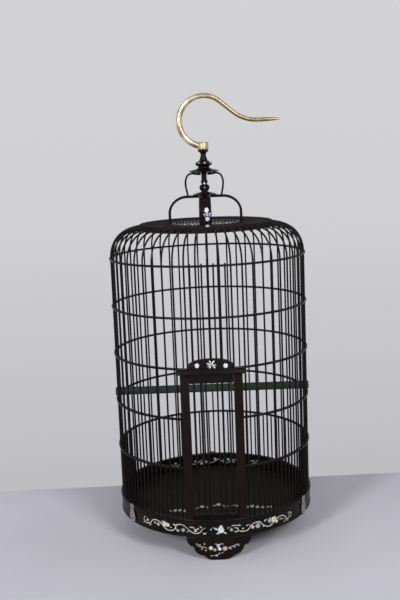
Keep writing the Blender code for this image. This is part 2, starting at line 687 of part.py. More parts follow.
def make_top_lattice():
    """The openwork in the plate: a ring, a middle board, and slats that lean away from it."""
    outer = (PLATE_OPENING_R - GAP) / cos(pi / BAR_COUNT)
    inner = outer - LATTICE_RING_W
    low, high = FIELD_Z - LATTICE_H, FIELD_Z
    profile = [(inner, low), (outer, low), (outer, high), (inner, high)]
    bm = bmesh.new()
    rings = [[at(r, (k + 0.5) * BAY, z) for r, z in profile] for k in range(BAR_COUNT)]
    loft(bm, rings, closed=True)
    lattice = finish(bm, "top_lattice", LACQUER)

    middle = inner + LATTICE_RING_W / 2
    spine_x = LATTICE_SPINE_W / 2
    spine = bmesh.new()
    box(spine, (-spine_x, -middle, low + LATTICE_STEP), (spine_x, middle, high - LATTICE_STEP))
    combine(lattice, finish(spine, "spine_tool", LACQUER), "UNION")
    slat_count = int((middle - spine_x - SLAT_W / 2) / SLAT_PITCH)
    slats = bmesh.new()
    for side in (-1, 1):
        for number in range(1, slat_count + 1):
            x = spine_x - SLAT_W / 2 + number * SLAT_PITCH
            add_slat(slats, side, x, middle, low + 2 * LATTICE_STEP, high - 2 * LATTICE_STEP)
    combine(lattice, finish(slats, "slats_tool", LACQUER), "UNION")


def add_slat(bm, side, x, reach, low, high):
    """A slat whose middle is at x, and which leans outwards at the back; it ends on the circle."""
    run = Vector((sin(SLAT_LEAN), cos(SLAT_LEAN)))
    half = SLAT_W / 2 * Vector((cos(SLAT_LEAN), -sin(SLAT_LEAN)))
    centre = Vector((x, 0))
    foot = []
    for edge, ways in ((half, (-1, 1)), (-half, (1, -1))):
        start = centre + edge
        toward = start.dot(run)
        root = sqrt(toward ** 2 + reach ** 2 - start.length_squared)
        for way in ways:
            end = start + (way * root - toward) * run
            foot.append((side * end.x, end.y))
    loft(bm, [[(px, py, z) for px, py in foot] for z in (low, high)])


def make_large_arms():
    """Four bent straps from the hub out and down to the field of the plate."""
    corner_r = LARGE_ARM_FOOT_R - LARGE_ARM_CORNER_W
    path = [(HUB_R + GAP, LARGE_ARM_Z)]
    for step in range(LARGE_ARM_STEPS + 1):
        turn = pi / 2 * step / LARGE_ARM_STEPS
        path.append((corner_r + LARGE_ARM_CORNER_W * sin(turn),
                     LARGE_ARM_Z - LARGE_ARM_CORNER_H * (1 - cos(turn))))
    path.append((LARGE_ARM_FOOT_R, FIELD_Z + GAP))
    normals = path_normals(path)
    normals = [-n for n in normals]
    normals[0], normals[-1] = Vector((0, 1)), Vector((1, 0))
    last = len(path) - 1
    widths = [LARGE_ARM_TOP_W + (LARGE_ARM_FOOT_W - LARGE_ARM_TOP_W) * i / last for i in range(last + 1)]
    for name, quarter in (("front", 0), ("right", 1), ("rear", 2), ("left", 3)):
        bm = bmesh.new()
        azimuth = quarter * 2 * pi / LARGE_ARM_COUNT
        strap(bm, path, normals, [w / 2 for w in widths], LARGE_ARM_T, azimuth)
        finish(bm, f"large_arm_{name}", BROWN_LACQUER, smooth=True)

    bm = bmesh.new()
    low, high = LARGE_ARM_Z - LARGE_ARM_T / 2, LARGE_ARM_Z + LARGE_ARM_T / 2
    cylinder(bm, (0, 0), HUB_R, low, high, SPINDLE_SIDES)
    finish(bm, "arm_hub", LACQUER)


def make_canopy(name, shares, r, height, z):
    """A turned canopy whose edge is cut into petals."""
    steps = CANOPY_PETALS * CANOPY_STEPS_PER_PETAL
    profile = scaled(shares, r, height, z)
    rings = []
    for step in range(steps):
        azimuth = 2 * pi * step / steps
        petal = 1 - CANOPY_NOTCH_SHARE * (1 - abs(cos(CANOPY_PETALS / 2 * azimuth)))
        rings.append([at(point_r * petal, azimuth, point_z) for point_r, point_z in profile])
    bm = bmesh.new()
    loft(bm, rings, closed=True)
    finish(bm, name, LACQUER, smooth=True)


def make_small_arms():
    foot_z = LARGE_ARM_Z + LARGE_ARM_T / 2 + GAP
    points = scaled(SMALL_ARM_SHARES, SMALL_ARM_R, SPINDLE_H, SPINDLE_Z)
    points[-1] = (points[-1][0], foot_z)
    path = through(points, SMALL_ARM_STEPS_PER_SPAN)
    normals = [-n for n in path_normals(path)]
    normals[0], normals[-1] = Vector((0, 1)), Vector((1, 0))
    for name, quarter in (("front", 0), ("right", 1), ("rear", 2), ("left", 3)):
        bm = bmesh.new()
        azimuth = quarter * 2 * pi / SMALL_ARM_COUNT
        half_w = SMALL_ARM_W / 2
        half_widths = [half_w * SMALL_ARM_NECK_SHARE] + [half_w] * (len(path) - 1)
        strap(bm, path, normals, half_widths, SMALL_ARM_T, azimuth)
        finish(bm, f"small_arm_{name}", BROWN_LACQUER, smooth=True)


def make_crown():
    make_large_arms()
    make_canopy("lower_canopy", LOWER_CANOPY_SHARES, LOWER_CANOPY_R, LOWER_CANOPY_H, LOWER_CANOPY_Z)
    make_small_arms()
    make_canopy("upper_canopy", UPPER_CANOPY_SHARES, UPPER_CANOPY_R, UPPER_CANOPY_H, UPPER_CANOPY_Z)

    bm = bmesh.new()
    turned(bm, scaled(SPINDLE_SHARES, SPINDLE_R, SPINDLE_H, SPINDLE_Z), SPINDLE_SIDES)
    finish(bm, "spindle", LACQUER, smooth=True)

    bm = bmesh.new()
    turned(bm, scaled(FINIAL_SHARES, FINIAL_R, FINIAL_H, FINIAL_Z), TURNED_SIDES)
    finial = finish(bm, "finial", LACQUER, smooth=True)
    top = FINIAL_Z + FINIAL_H
    bm = bmesh.new()
    cylinder(bm, (0, 0), PIN_R + GAP, top - PIN_DEPTH, top + OVERRUN, SPINDLE_SIDES)
    combine(finial, finish(bm, "bore_tool", LACQUER), "DIFFERENCE")


def hook_path():
    """Middle line of the rod as (x, z, radius): round bend, slope, wide sweep, straight tip."""
    centre = Vector((HOOK_BEND_X, COLLAR_Z + HOOK_ROOT_RISE + HOOK_BEND_R))
    path = []
    for step in range(HOOK_BEND_STEPS + 1):
        turn = HOOK_ROOT_ANGLE + (HOOK_SHOULDER_ANGLE - HOOK_ROOT_ANGLE) * step / HOOK_BEND_STEPS
        point = centre + HOOK_BEND_R * Vector((cos(turn), sin(turn)))
        thinned = min(max((pi - turn) / (pi - HOOK_SHOULDER_ANGLE), 0), 1)
        path.append((point.x, point.y, HOOK_ROOT_R + (HOOK_SLOPE_R - HOOK_ROOT_R) * thinned))
    slope = HOOK_SHOULDER_ANGLE - pi / 2
    foot = Vector(path[-1][:2]) + HOOK_SLOPE_L * Vector((cos(slope), sin(slope)))
    sweep_centre = foot + HOOK_SWEEP_R * Vector((-sin(slope), cos(slope)))
    for step in range(HOOK_SWEEP_STEPS + 1):
        heading = slope + (HOOK_TIP_RISE - slope) * step / HOOK_SWEEP_STEPS
        point = sweep_centre + HOOK_SWEEP_R * Vector((sin(heading), -cos(heading)))
        path.append((point.x, point.y, HOOK_SWEEP_ROD_R))
    last = Vector(path[-1][:2])
    for step in range(1, HOOK_TIP_STEPS + 1):
        share = step / HOOK_TIP_STEPS
        point = last + share * HOOK_TIP_L * Vector((cos(HOOK_TIP_RISE), sin(HOOK_TIP_RISE)))
        full = sqrt(1 - share ** 2)
        path.append((point.x, point.y, HOOK_TIP_ROD_R + (HOOK_SWEEP_ROD_R - HOOK_TIP_ROD_R) * full))
    return path


def make_hook():
    swivel = empty("hook_swivel_origin", (0, 0, COLLAR_Z))
    bm = bmesh.new()
    cylinder(bm, (0, 0), COLLAR_R, COLLAR_Z, COLLAR_Z + COLLAR_H, TURNED_SIDES)
    hook = finish(bm, "hook", BRASS, parent=swivel, smooth=True)

    path = hook_path()
    normals = path_normals([(x, z) for x, z, _ in path])
    rings = []
    for (x, z, r), normal in zip(path, normals):
        ring = []
        for side in range(HOOK_SIDES):
            angle = 2 * pi * (side + 0.5) / HOOK_SIDES
            ring.append((x + r * cos(angle) * normal.x, r * sin(angle), z + r * cos(angle) * normal.y))
        rings.append(ring)
    bm = bmesh.new()
    loft(bm, rings)
    combine(hook, finish(bm, "rod_tool", BRASS), "UNION")

    seat_z = COLLAR_Z + COLLAR_H - PIN_HEAD_SINK - PIN_HEAD_H - GAP
    bm = bmesh.new()
    cylinder(bm, (0, 0), PIN_R + GAP, COLLAR_Z - OVERRUN, COLLAR_Z + COLLAR_H + OVERRUN, SPINDLE_SIDES)
    combine(hook, finish(bm, "bore_tool", BRASS), "DIFFERENCE")
    bm = bmesh.new()
    cylinder(bm, (0, 0), PIN_HEAD_R + GAP, seat_z, COLLAR_Z + COLLAR_H + OVERRUN, SPINDLE_SIDES)
    combine(hook, finish(bm, "seat_tool", BRASS), "DIFFERENCE")

    foot_z = FINIAL_Z + FINIAL_H - PIN_DEPTH + GAP
    head_z = seat_z + GAP
    head_top = head_z + PIN_HEAD_H
    profile = [(0, foot_z), (PIN_R, foot_z), (PIN_R, head_z), (PIN_HEAD_R, head_z), (PIN_HEAD_R, head_top),
               (0, head_top)]
    bm = bmesh.new()
    turned(bm, profile, SPINDLE_SIDES)
    finish(bm, "hook_pin", BRASS, smooth=True)


def make_perch():
    """A round perch from side to side. Each end is slotted over the bar there and lies on a hoop."""
    flat_r = PERCH_R * cos(pi / PERCH_SIDES)
    z = HOOP_Z[PERCH_HOOP_INDEX] + HOOP_H / 2 + GAP + flat_r
    angles = [2 * pi * (i + 0.5) / PERCH_SIDES for i in range(PERCH_SIDES)]
    bm = bmesh.new()
    loft(bm, [[(x, PERCH_R * sin(a), z + PERCH_R * cos(a)) for a in angles]
              for x in (-PERCH_HALF_L, PERCH_HALF_L)])
    perch = finish(bm, "perch", GRIT, smooth=True)
    slots = bmesh.new()
    half_w = BAR_R + GAP
    for side in (-1, 1):
        x0, x1 = sorted((side * (BAR_CIRCLE_R - BAR_R - GAP), side * (PERCH_HALF_L + OVERRUN)))
        box(slots, (x0, -half_w, z - PERCH_R - OVERRUN), (x1, half_w, z + PERCH_R + OVERRUN))
    combine(perch, finish(slots, "slots_tool", GRIT), "DIFFERENCE")


def main():
    clear_scene()
    make_base()
    make_feet()
    make_ornaments()
    make_bar_segments()
    make_hoops()
    make_door_frame()
    make_door()
    make_top_plate()
    make_top_lattice()
    make_crown()
    make_hook()
    make_perch()


main()
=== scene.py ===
from math import cos, pi, radians, sin

import bpy
import numpy as np
from mathutils import Matrix, Vector


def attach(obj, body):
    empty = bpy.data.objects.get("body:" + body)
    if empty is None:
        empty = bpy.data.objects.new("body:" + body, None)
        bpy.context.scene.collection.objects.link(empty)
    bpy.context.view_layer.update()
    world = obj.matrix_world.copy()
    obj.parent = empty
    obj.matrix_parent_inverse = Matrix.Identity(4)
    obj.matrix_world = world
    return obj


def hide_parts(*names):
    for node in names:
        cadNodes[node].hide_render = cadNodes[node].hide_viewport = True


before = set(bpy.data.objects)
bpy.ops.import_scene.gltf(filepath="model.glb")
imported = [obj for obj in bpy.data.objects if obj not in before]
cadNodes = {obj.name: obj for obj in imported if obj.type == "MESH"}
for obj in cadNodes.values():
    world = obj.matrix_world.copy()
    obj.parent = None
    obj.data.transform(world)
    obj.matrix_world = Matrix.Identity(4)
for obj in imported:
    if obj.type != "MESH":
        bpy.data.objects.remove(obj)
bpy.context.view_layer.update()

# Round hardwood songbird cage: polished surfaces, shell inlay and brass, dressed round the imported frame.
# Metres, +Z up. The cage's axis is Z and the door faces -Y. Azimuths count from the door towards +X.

mm = 0.001
print("frame loaded:", len(cadNodes), "nodes")


# Materials

def linear(hexColour):
    # sRGB hex to linear light: below 0.04045 a straight line, above it a power of 2.4
    channels = np.array([int(hexColour[i:i + 2], 16) / 255 for i in (1, 3, 5)])
    light = np.where(channels <= 0.04045, channels / 12.92, ((channels + 0.055) / 1.055) ** 2.4)
    return (*light.tolist(), 1.0)


def addNode(tree, kind, settings=None, links=None):
    # settings are the node's own properties, its input values or a ramp's stops; links join other nodes' outputs
    node = tree.nodes.new(kind)
    for name, value in (settings or {}).items():
        if name == "stops":
            ramp = node.color_ramp.elements
            while len(ramp) < len(value):
                ramp.new(0.5)
            for stop, (place, colour) in zip(ramp, value):
                stop.position = place
                stop.color = linear(colour)
        elif isinstance(name, str) and hasattr(node, name):
            setattr(node, name, value)
        else:
            node.inputs[name].default_value = value
    for name, output in (links or {}).items():
        tree.links.new(output, node.inputs[name])
    return node


def startMaterial(name, **sockets):
    made = bpy.data.materials.new(name)
    made.use_nodes = True
    tree = made.node_tree
    shader = tree.nodes["Principled BSDF"]
    for socket, value in sockets.items():
        shader.inputs[socket.replace("_", " ")].default_value = value
    return made, tree, shader


# Dense tropical hardwood, stained, brush lacquered in many thin coats and rubbed down by hand.
# The eye sees near black with fine brown streaks, a dull body and a thin bright line on each round edge.
lacquer = {
    "grain": 0.9 * mm, "stretch": 14, "cloud": 38 * mm, "brushDepth": 0.03 * mm,
    "specular": 0.1, "coat": 0.06, "coatRoughness": 0.1,
}


def lacqueredWood(name, dark, streak, along, amount=0.5, roughness=0.36, specular=lacquer["specular"],
                  coat=lacquer["coat"]):
    # Grain is noise stretched along the wood's fibres; a slow cloud of tone lies over it
    made, tree, shader = startMaterial(
        name, Coat_Weight=coat, Coat_Roughness=lacquer["coatRoughness"], Specular_IOR_Level=specular)
    place = addNode(tree, "ShaderNodeTexCoord")
    across = 1 / lacquer["grain"]
    scale = [across, across, across]
    for axis in along:
        scale["XYZ".index(axis)] = across / lacquer["stretch"]
    turned = addNode(tree, "ShaderNodeMapping", {"Scale": scale}, {"Vector": place.outputs["Object"]})
    grain = addNode(tree, "ShaderNodeTexNoise", {"Scale": 1.0, "Detail": 4.0, "Roughness": 0.62},
                    {"Vector": turned.outputs["Vector"]})
    cloud = addNode(tree, "ShaderNodeTexNoise", {"Scale": 1 / lacquer["cloud"], "Detail": 2.0},
                    {"Vector": place.outputs["Object"]})
    mixed = addNode(tree, "ShaderNodeMath", {"operation": "MULTIPLY_ADD", 1: 0.6},
                    {0: cloud.outputs["Fac"], 2: grain.outputs["Fac"]})
    ramp = addNode(tree, "ShaderNodeValToRGB",
                   {"stops": ((0.98 - 0.5 * amount, dark), (1.0, streak))},
                   {"Fac": mixed.outputs["Value"]})
    tree.links.new(ramp.outputs["Color"], shader.inputs["Base Color"])
    worn = addNode(tree, "ShaderNodeMapRange", {"To Min": roughness - 0.07, "To Max": roughness + 0.1},
                   {"Value": grain.outputs["Fac"]})
    tree.links.new(worn.outputs["Result"], shader.inputs["Roughness"])
    bump = addNode(tree, "ShaderNodeBump", {"Strength": 0.25, "Distance": lacquer["brushDepth"]},
                   {"Height": grain.outputs["Fac"]})
    tree.links.new(bump.outputs["Normal"], shader.inputs["Normal"])
    return made


lacquerUpright = lacqueredWood("lacquered_blackwood_upright_grain", "#080606", "#170E0B", "Z")
lacquerLevel = lacqueredWood("lacquered_blackwood_level_grain", "#090707", "#150E0C", "XY")
lacquerBent = lacqueredWood("lacquered_blackwood_bent_rods", "#060404", "#150B08", "Z", 0.7)
rosewoodUpright = lacqueredWood("lacquered_rosewood_upright_grain", "#080505", "#1B0C08", "Z", 0.75)
rosewoodLevel = lacqueredWood("lacquered_rosewood_level_grain", "#080505", "#1A0D0A", "XY", 0.75)
# Boards that seed, water and sand have dulled: the same lacquer, with hardly any gloss left on it
dulledFloor = lacqueredWood("dulled_lacquer_floor_board", "#1B1716", "#2A211F", "X", 0.6, 0.6, 0.06, 0.0)
dulledTop = lacqueredWood("dulled_rosewood_top_board", "#131110", "#282321", "X", 0.8, 0.8, 0.04, 0.0)
# The moulding over the door is rubbed a little brighter than the rest
burnished = lacqueredWood("burnished_lacquer_header_moulding", "#090707", "#150E0C", "X", 0.5, 0.3, 0.12, 0.1)


def motherOfPearl(name, pale, middle, deep, patch=2.2 * mm):
    # Shell sawn into thin leaves, let into the wood and polished level with it.
    # The eye sees a pale body whose tint drifts in small patches under a wet gloss.
    made, tree, shader = startMaterial(name, Roughness=0.28, Coat_Weight=0.4, Coat_Roughness=0.08, IOR=1.53)
    place = addNode(tree, "ShaderNodeTexCoord")
    drift = addNode(tree, "ShaderNodeTexNoise", {"Scale": 1 / patch, "Detail": 3.0, "Distortion": 0.8},
                    {"Vector": place.outputs["Object"]})
    ramp = addNode(tree, "ShaderNodeValToRGB", {"stops": ((0.36, deep), (0.5, middle), (0.62, pale))},
                   {"Fac": drift.outputs["Fac"]})
    tree.links.new(ramp.outputs["Color"], shader.inputs["Base Color"])
    layers = addNode(tree, "ShaderNodeTexNoise", {"Scale": 1 / (0.5 * mm), "Detail": 2.0},
                     {"Vector": place.outputs["Object"]})
    bump = addNode(tree, "ShaderNodeBump", {"Strength": 0.3, "Distance": 0.04 * mm},
                   {"Height": layers.outputs["Fac"]})
    tree.links.new(bump.outputs["Normal"], shader.inputs["Normal"])
    return made


pearls = {
    "white": motherOfPearl("white_mother_of_pearl", "#E9ECEA", "#CFD8DB", "#A3B2BD"),
    "blue": motherOfPearl("blue_white_mother_of_pearl", "#DDE8F2", "#A9BCD8", "#6F80B4"),
    "cream": motherOfPearl("cream_mother_of_pearl", "#F0EBD2", "#DDD6B0", "#AFB48A"),
    "pink": motherOfPearl("pink_mother_of_pearl", "#E4C8C1", "#B88F88", "#7A5856"),
    "green": motherOfPearl("green_abalone_shell", "#BDD0C5", "#77998B", "#3F6258"),
    "stem": motherOfPearl("silver_shell_stem", "#E4DEDA", "#C2BBB8", "#8E8886"),
    # A greyer copy of the shell for the inlays inside the cage: its darkness is painted shade
    "shadedGrey": motherOfPearl("grey_shell_with_painted_shade", "#D8D6D2", "#B2AFAC", "#7C797A"),
    "carved": motherOfPearl("carved_rose_shell", "#A89E9D", "#665C5E", "#282124", 2.2 * mm),
}

# Cast and drawn brass, filed and polished by hand, with tarnish in patches. Its colour is painted paler on the
# left of the bend and darker toward the tip: a painted highlight and painted shade for light that falls from the left.
# The eye sees pale yellow metal on the bend that turns to a dull tan along the sweep.
brass, tree, shader = startMaterial("hand_polished_brass_with_painted_highlight", Metallic=1.0)
place = addNode(tree, "ShaderNodeTexCoord")
tarnish = addNode(tree, "ShaderNodeTexNoise", {"Scale": 1 / (16 * mm), "Detail": 4.0},
                  {"Vector": place.outputs["Object"]})
along = addNode(tree, "ShaderNodeSeparateXYZ", links={"Vector": place.outputs["Object"]})
# Painted highlight and shade: paler towards -X, on the left of the bend, and darker towards the tip
paintedSideLight = addNode(tree, "ShaderNodeMapRange",
                  {"From Min": -42 * mm, "From Max": 26 * mm, "To Min": 0.14, "To Max": -0.14},
                  {"Value": along.outputs["X"]})
tone = addNode(tree, "ShaderNodeMath", {"operation": "ADD"},
               {0: tarnish.outputs["Fac"], 1: paintedSideLight.outputs["Result"]})
ramp = addNode(tree, "ShaderNodeValToRGB",
               {"stops": ((0.34, "#A08B69"), (0.5, "#BFAA82"), (0.66, "#E2D9BC"))},
               {"Fac": tone.outputs["Value"]})
tree.links.new(ramp.outputs["Color"], shader.inputs["Base Color"])
scuff = addNode(tree, "ShaderNodeMapRange", {"To Min": 0.24, "To Max": 0.38}, {"Value": tarnish.outputs["Fac"]})
tree.links.new(scuff.outputs["Result"], shader.inputs["Roughness"])
filed = addNode(tree, "ShaderNodeTexNoise", {"Scale": 1 / (1.2 * mm), "Detail": 2.0},
                {"Vector": place.outputs["Object"]})
bump = addNode(tree, "ShaderNodeBump", {"Strength": 0.07, "Distance": 0.05 * mm}, {"Height": filed.outputs["Fac"]})
tree.links.new(bump.outputs["Normal"], shader.inputs["Normal"])

# Hardwood rod coated in glue and dark mineral grit, for the bird's claws.
# The eye sees a dull green-grey crust of grains about a millimetre across, with a few pale ones.
grit, tree, shader = startMaterial("gritted_perch_rod", Roughness=0.92, Specular_IOR_Level=0.2)
place = addNode(tree, "ShaderNodeTexCoord")
grains = addNode(tree, "ShaderNodeTexVoronoi", {"Scale": 1 / (1.1 * mm)}, {"Vector": place.outputs["Object"]})
ramp = addNode(tree, "ShaderNodeValToRGB",
               {"stops": ((0.02, "#7C837F"), (0.25, "#3B4240"), (0.8, "#232928"))},
               {"Fac": grains.outputs["Distance"]})
tree.links.new(ramp.outputs["Color"], shader.inputs["Base Color"])
bump = addNode(tree, "ShaderNodeBump", {"Strength": 0.9, "Distance": 0.5 * mm, "invert": True},
               {"Height": grains.outputs["Distance"]})
tree.links.new(bump.outputs["Normal"], shader.inputs["Normal"])
print("materials made")


# Shapes. A shape is an array of rows of points. Each row is a closed loop; the rows either come back to
# the first one, as on a ring, or end in a flat cap.

def polar(r, azimuth, z):
    # x = r sin(azimuth), y = -r cos(azimuth)
    r, azimuth, z = np.broadcast_arrays(r, azimuth, z)
    return np.stack([r * np.sin(azimuth), -r * np.cos(azimuth), z], -1)


def softCorners(corners, radius, steps=3):
    # Each corner becomes a parabola from radius before it to radius after it: (1-t)^2 a + 2t(1-t) c + t^2 b
    corners = np.asarray(corners, float)
    before, after = np.roll(corners, 1, -2), np.roll(corners, -1, -2)
    radius = np.asarray(radius, float)[..., None] if np.ndim(radius) else radius

    def toward(other):
        run = other - corners
        length = np.linalg.norm(run, axis=-1, keepdims=True)
        return corners + run / np.maximum(length, 1e-9) * np.minimum(radius, length * 0.45)
    a, b = toward(before), toward(after)
    t = np.linspace(0, 1, steps + 1)[:, None]
    curve = ((1 - t) ** 2 * a[..., None, :] + 2 * t * (1 - t) * corners[..., None, :] + t ** 2 * b[..., None, :])
    return curve.reshape(*corners.shape[:-2], -1, corners.shape[-1])


def curveThrough(points, steps):
    # Catmull-Rom curve through the points: cubic spans whose slopes are half the chord of the neighbours
    knots = np.asarray(points, float)
    knots = np.vstack([2 * knots[0] - knots[1], knots, 2 * knots[-1] - knots[-2]])
    a, b, c, d = (knots[i:len(knots) - 3 + i, None] for i in range(4))
    t = np.linspace(0, 1, steps, endpoint=False)[None, :, None]
    curve = 0.5 * (2 * b + (c - a) * t + (2 * a - 5 * b + 4 * c - d) * t ** 2 + (3 * b - a - 3 * c + d) * t ** 3)
    return np.vstack([curve.reshape(-1, knots.shape[1]), knots[-2]])


def slopes(path):
    # Unit direction at each point, from its neighbours
    run = np.gradient(path, axis=0)
    return run / np.linalg.norm(run, axis=-1, keepdims=True)


def ringShape(profile, azimuths):
    # The closed (r, z) profile at each azimuth
    return polar(profile[None, :, 0], azimuths[:, None], profile[None, :, 1])


def turnedShape(profile, sides, ripple=None):
    # Circles of radius r at height z; ripple scales the radius by azimuth
    azimuths = np.linspace(0, 2 * pi, sides, endpoint=False)
    shares = 1 if ripple is None else ripple(azimuths)[None, :]
    return polar(profile[:, :1] * shares, azimuths[None, :], profile[:, 1:])


def rodShape(path, radii, sides, across):
    # Circles of the given radii round a flat path whose plane has the normal "across"
    run = slopes(path)
    normal = np.cross(run, across)
    turn = np.linspace(0, 2 * pi, sides, endpoint=False)[None, :, None]
    radii = np.broadcast_to(radii, len(path))[:, None, None]
    return path[:, None] + radii * (np.cos(turn) * normal[:, None] + np.sin(turn) * np.asarray(across))


def strapShape(path, widths, thickness, azimuth, soft):
    # A flat strip with soft edges along an (r, z) path in the plane of this azimuth
    run = slopes(path)
    normal = np.stack([-run[:, 1], run[:, 0]], -1)
    half = np.broadcast_to(widths, len(path)) / 2
    corners = np.stack([
        np.stack([-half, half, half, -half], -1),
        np.broadcast_to(np.array([-1, -1, 1, 1]) * thickness / 2, (len(path), 4)),
    ], -1)
    loops = softCorners(corners, soft)
    r = path[:, None, 0] + loops[..., 1] * normal[:, None, 0]
    z = path[:, None, 1] + loops[..., 1] * normal[:, None, 1]
    return polar(r, azimuth, z) + loops[..., :1] * np.array([cos(azimuth), sin(azimuth), 0])


def inset(outline, amount):
    # The closed outline moved inwards along its normals, which are the bisectors at its points
    run = np.roll(outline, -1, 0) - np.roll(outline, 1, 0)
    normal = np.stack([-run[:, 1], run[:, 0]], -1)
    normal /= np.maximum(np.linalg.norm(normal, axis=1, keepdims=True), 1e-9)
    area = np.sum(outline[:, 0] * np.roll(outline[:, 1], -1) - np.roll(outline[:, 0], -1) * outline[:, 1])
    return outline + np.sign(area) * normal * amount


def slabShape(outline, low, high, soft, axes):
    # The outline carried from low to high, drawn in by "soft" at both ends; axes = (across, up, through)
    rows = [(low, soft), (low + soft * 0.3, soft * 0.3), (low + soft, 0), (high - soft, 0),
            (high - soft * 0.3, soft * 0.3), (high, soft)]
    across, up, through = (np.asarray(v, float) for v in axes)
    loops = [inset(outline, amount)[:, :1] * across + inset(outline, amount)[:, 1:] * up + place * through
             for place, amount in rows]
    return np.stack(loops)


def shapeFaces(shape, wrap):
    # Quads between neighbouring rows, and a cap on each end unless the rows wrap; turned to face out
    rows, cols = shape.shape[:2]
    i = np.arange(rows if wrap else rows - 1)[:, None]
    j = np.arange(cols)[None, :]
    k, m = (i + 1) % rows, (j + 1) % cols
    quads = np.stack([i * cols + j, i * cols + m, k * cols + m, k * cols + j], -1).reshape(-1, 4)
    caps = [] if wrap else [np.arange(cols)[::-1], np.arange(cols) + (rows - 1) * cols]
    flat = shape.reshape(-1, 3) - shape.reshape(-1, 3).mean(0)
    a, b, c, d = (flat[quads[:, n]] for n in range(4))
    volume = np.sum(np.cross(a, b) * c) + np.sum(np.cross(a, c) * d)
    for cap in caps:
        hub = flat[cap].mean(0)
        volume += np.sum(np.cross(flat[cap], flat[np.roll(cap, -1)]) @ hub)
    if volume < 0:
        quads, caps = quads[:, ::-1], [cap[::-1] for cap in caps]
    return quads, caps


def piece(name, shapes, body, finish, replaced=(), wrap=False, sharp=35):
    # Joins shapes into one object that rides on a body
    points, faces, start = [], [], 0
    for shape in shapes:
        quads, caps = shapeFaces(shape, wrap)
        faces += (quads + start).tolist() + [(cap + start).tolist() for cap in caps]
        points.append(shape.reshape(-1, 3))
        start += shape.shape[0] * shape.shape[1]
    mesh = bpy.data.meshes.new(name)
    mesh.from_pydata(np.vstack(points).tolist(), [], faces)
    mesh.materials.append(finish)
    mesh.shade_smooth()
    mesh.set_sharp_from_angle(angle=radians(sharp))
    made = bpy.data.objects.new(name, mesh)
    bpy.context.scene.collection.objects.link(made)
    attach(made, body)
    if replaced:
        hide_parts(*replaced)
    return made


# Shell inlay. Each surface turns a place on it, and a lift off it, into a point in space.

def onDrum(radius, outward=1):
    # The place s along the arc and z up lies at azimuth s / radius
    def place(s, z, lift):
        return polar(radius + outward * lift, s / radius, z)
    return place


def onFront(y):
    # A flat face that looks to the front: x across and z up
    def place(x, z, lift):
        return np.stack(np.broadcast_arrays(x, y - lift, z), -1)
    return place


def onLevel(height):
    # A level face: x to the right and y to the back
    def place(x, y, lift):
        return np.stack(np.broadcast_arrays(x, y, height + lift), -1)
    return place


shell = {"sunk": 0.3 * mm, "proud": 0.13 * mm, "edgeShare": 0.8, "onBend": 0.12 * mm, "bossRise": 1.7}


def shellStrip(path, halfWidths, surface, rise=1.0):
    # Across the path at u half widths; both edges are sunk in the wood and the middle stands a hair proud
    run = slopes(path)
    normal = np.stack([-run[:, 1], run[:, 0]], -1)
    shares = np.array([-1, -1, -shell["edgeShare"], shell["edgeShare"], 1, 1])
    lifts = np.array([-shell["sunk"], 0.3 * shell["proud"], shell["proud"], shell["proud"],
                      0.3 * shell["proud"], -shell["sunk"]])
    flat = path[:, None] + halfWidths[:, None, None] * shares[None, :, None] * normal[:, None]
    return surface(flat[..., 0], flat[..., 1], rise * lifts[None, :])


def stemStrip(points, halfWidth, surface):
    # A sawn tendril through the points, narrowed to a point at both ends
    path = curveThrough(np.array(points) * mm, 5)
    t = np.linspace(0, 1, len(path))
    return shellStrip(path, halfWidth * mm * np.minimum(1, 0.3 + 9 * np.minimum(t, 1 - t)), surface)


def leafStrip(across, up, angle, length, width, surface, fullness=1.0, bow=0.0, rise=1.0):
    # Half width = width/2 sin(pi t)^fullness; 0.5 gives a disc or a round petal, 1.4 a slender leaf.
    # The middle line bows sideways by bow times the length.
    t = np.linspace(0.03, 0.97, 11)
    along, side = (t - 0.5) * length, bow * length * (1 - (2 * t - 1) ** 2)
    turn = radians(angle)
    path = np.stack([across + along * cos(turn) - side * sin(turn), up + along * sin(turn) + side * cos(turn)], -1)
    return shellStrip(path * mm, width / 2 * mm * np.sin(pi * t) ** fullness, surface, rise)


def blossom(across, up, radius, petals, surface, turn=90.0, fullness=0.6, spread=1.0):
    # Round petals side by side about the middle: length 0.72 of the radius, set so that they meet there
    width = min(2 * pi * 0.62 / petals, 0.95) * radius * spread
    strips = []
    for k in range(petals):
        way = turn + 360 * k / petals
        middle = 0.6 * radius
        strips.append(leafStrip(across + middle * cos(radians(way)), up + middle * sin(radians(way)), way,
                                0.78 * radius, width, surface, fullness))
    return strips


def inlay(name, design, surface):
    # One object for each kind of shell. Sizes in the design are in millimetres and angles in degrees.
    strips = {}
    for kind, halfWidth, points in design.get("stems", ()):
        strips.setdefault(kind, []).append(stemStrip(points, halfWidth, surface))
    for kind, across, up, angle, length, width in design.get("leaves", ()):
        strips.setdefault(kind, []).append(leafStrip(across, up, angle, length, width, surface, 1.0, 0.08))
    for kind, across, up, radius, petals, middleKind in design.get("blossoms", ()):
        strips.setdefault(kind, []).extend(blossom(across, up, radius, petals, surface))
        middle = leafStrip(across, up, 0, 0.5 * radius, 0.5 * radius, surface, 0.5, 0.0, shell["bossRise"])
        strips.setdefault(middleKind, []).append(middle)
    for kind, across, up, radius in design.get("dots", ()):
        strips.setdefault(kind, []).append(leafStrip(across, up, 0, 2 * radius, 2 * radius, surface, 0.5))
    for kind, shapes in strips.items():
        piece(f"{name}_{kind}_shell", shapes, "cage", pearls[kind])


# Base

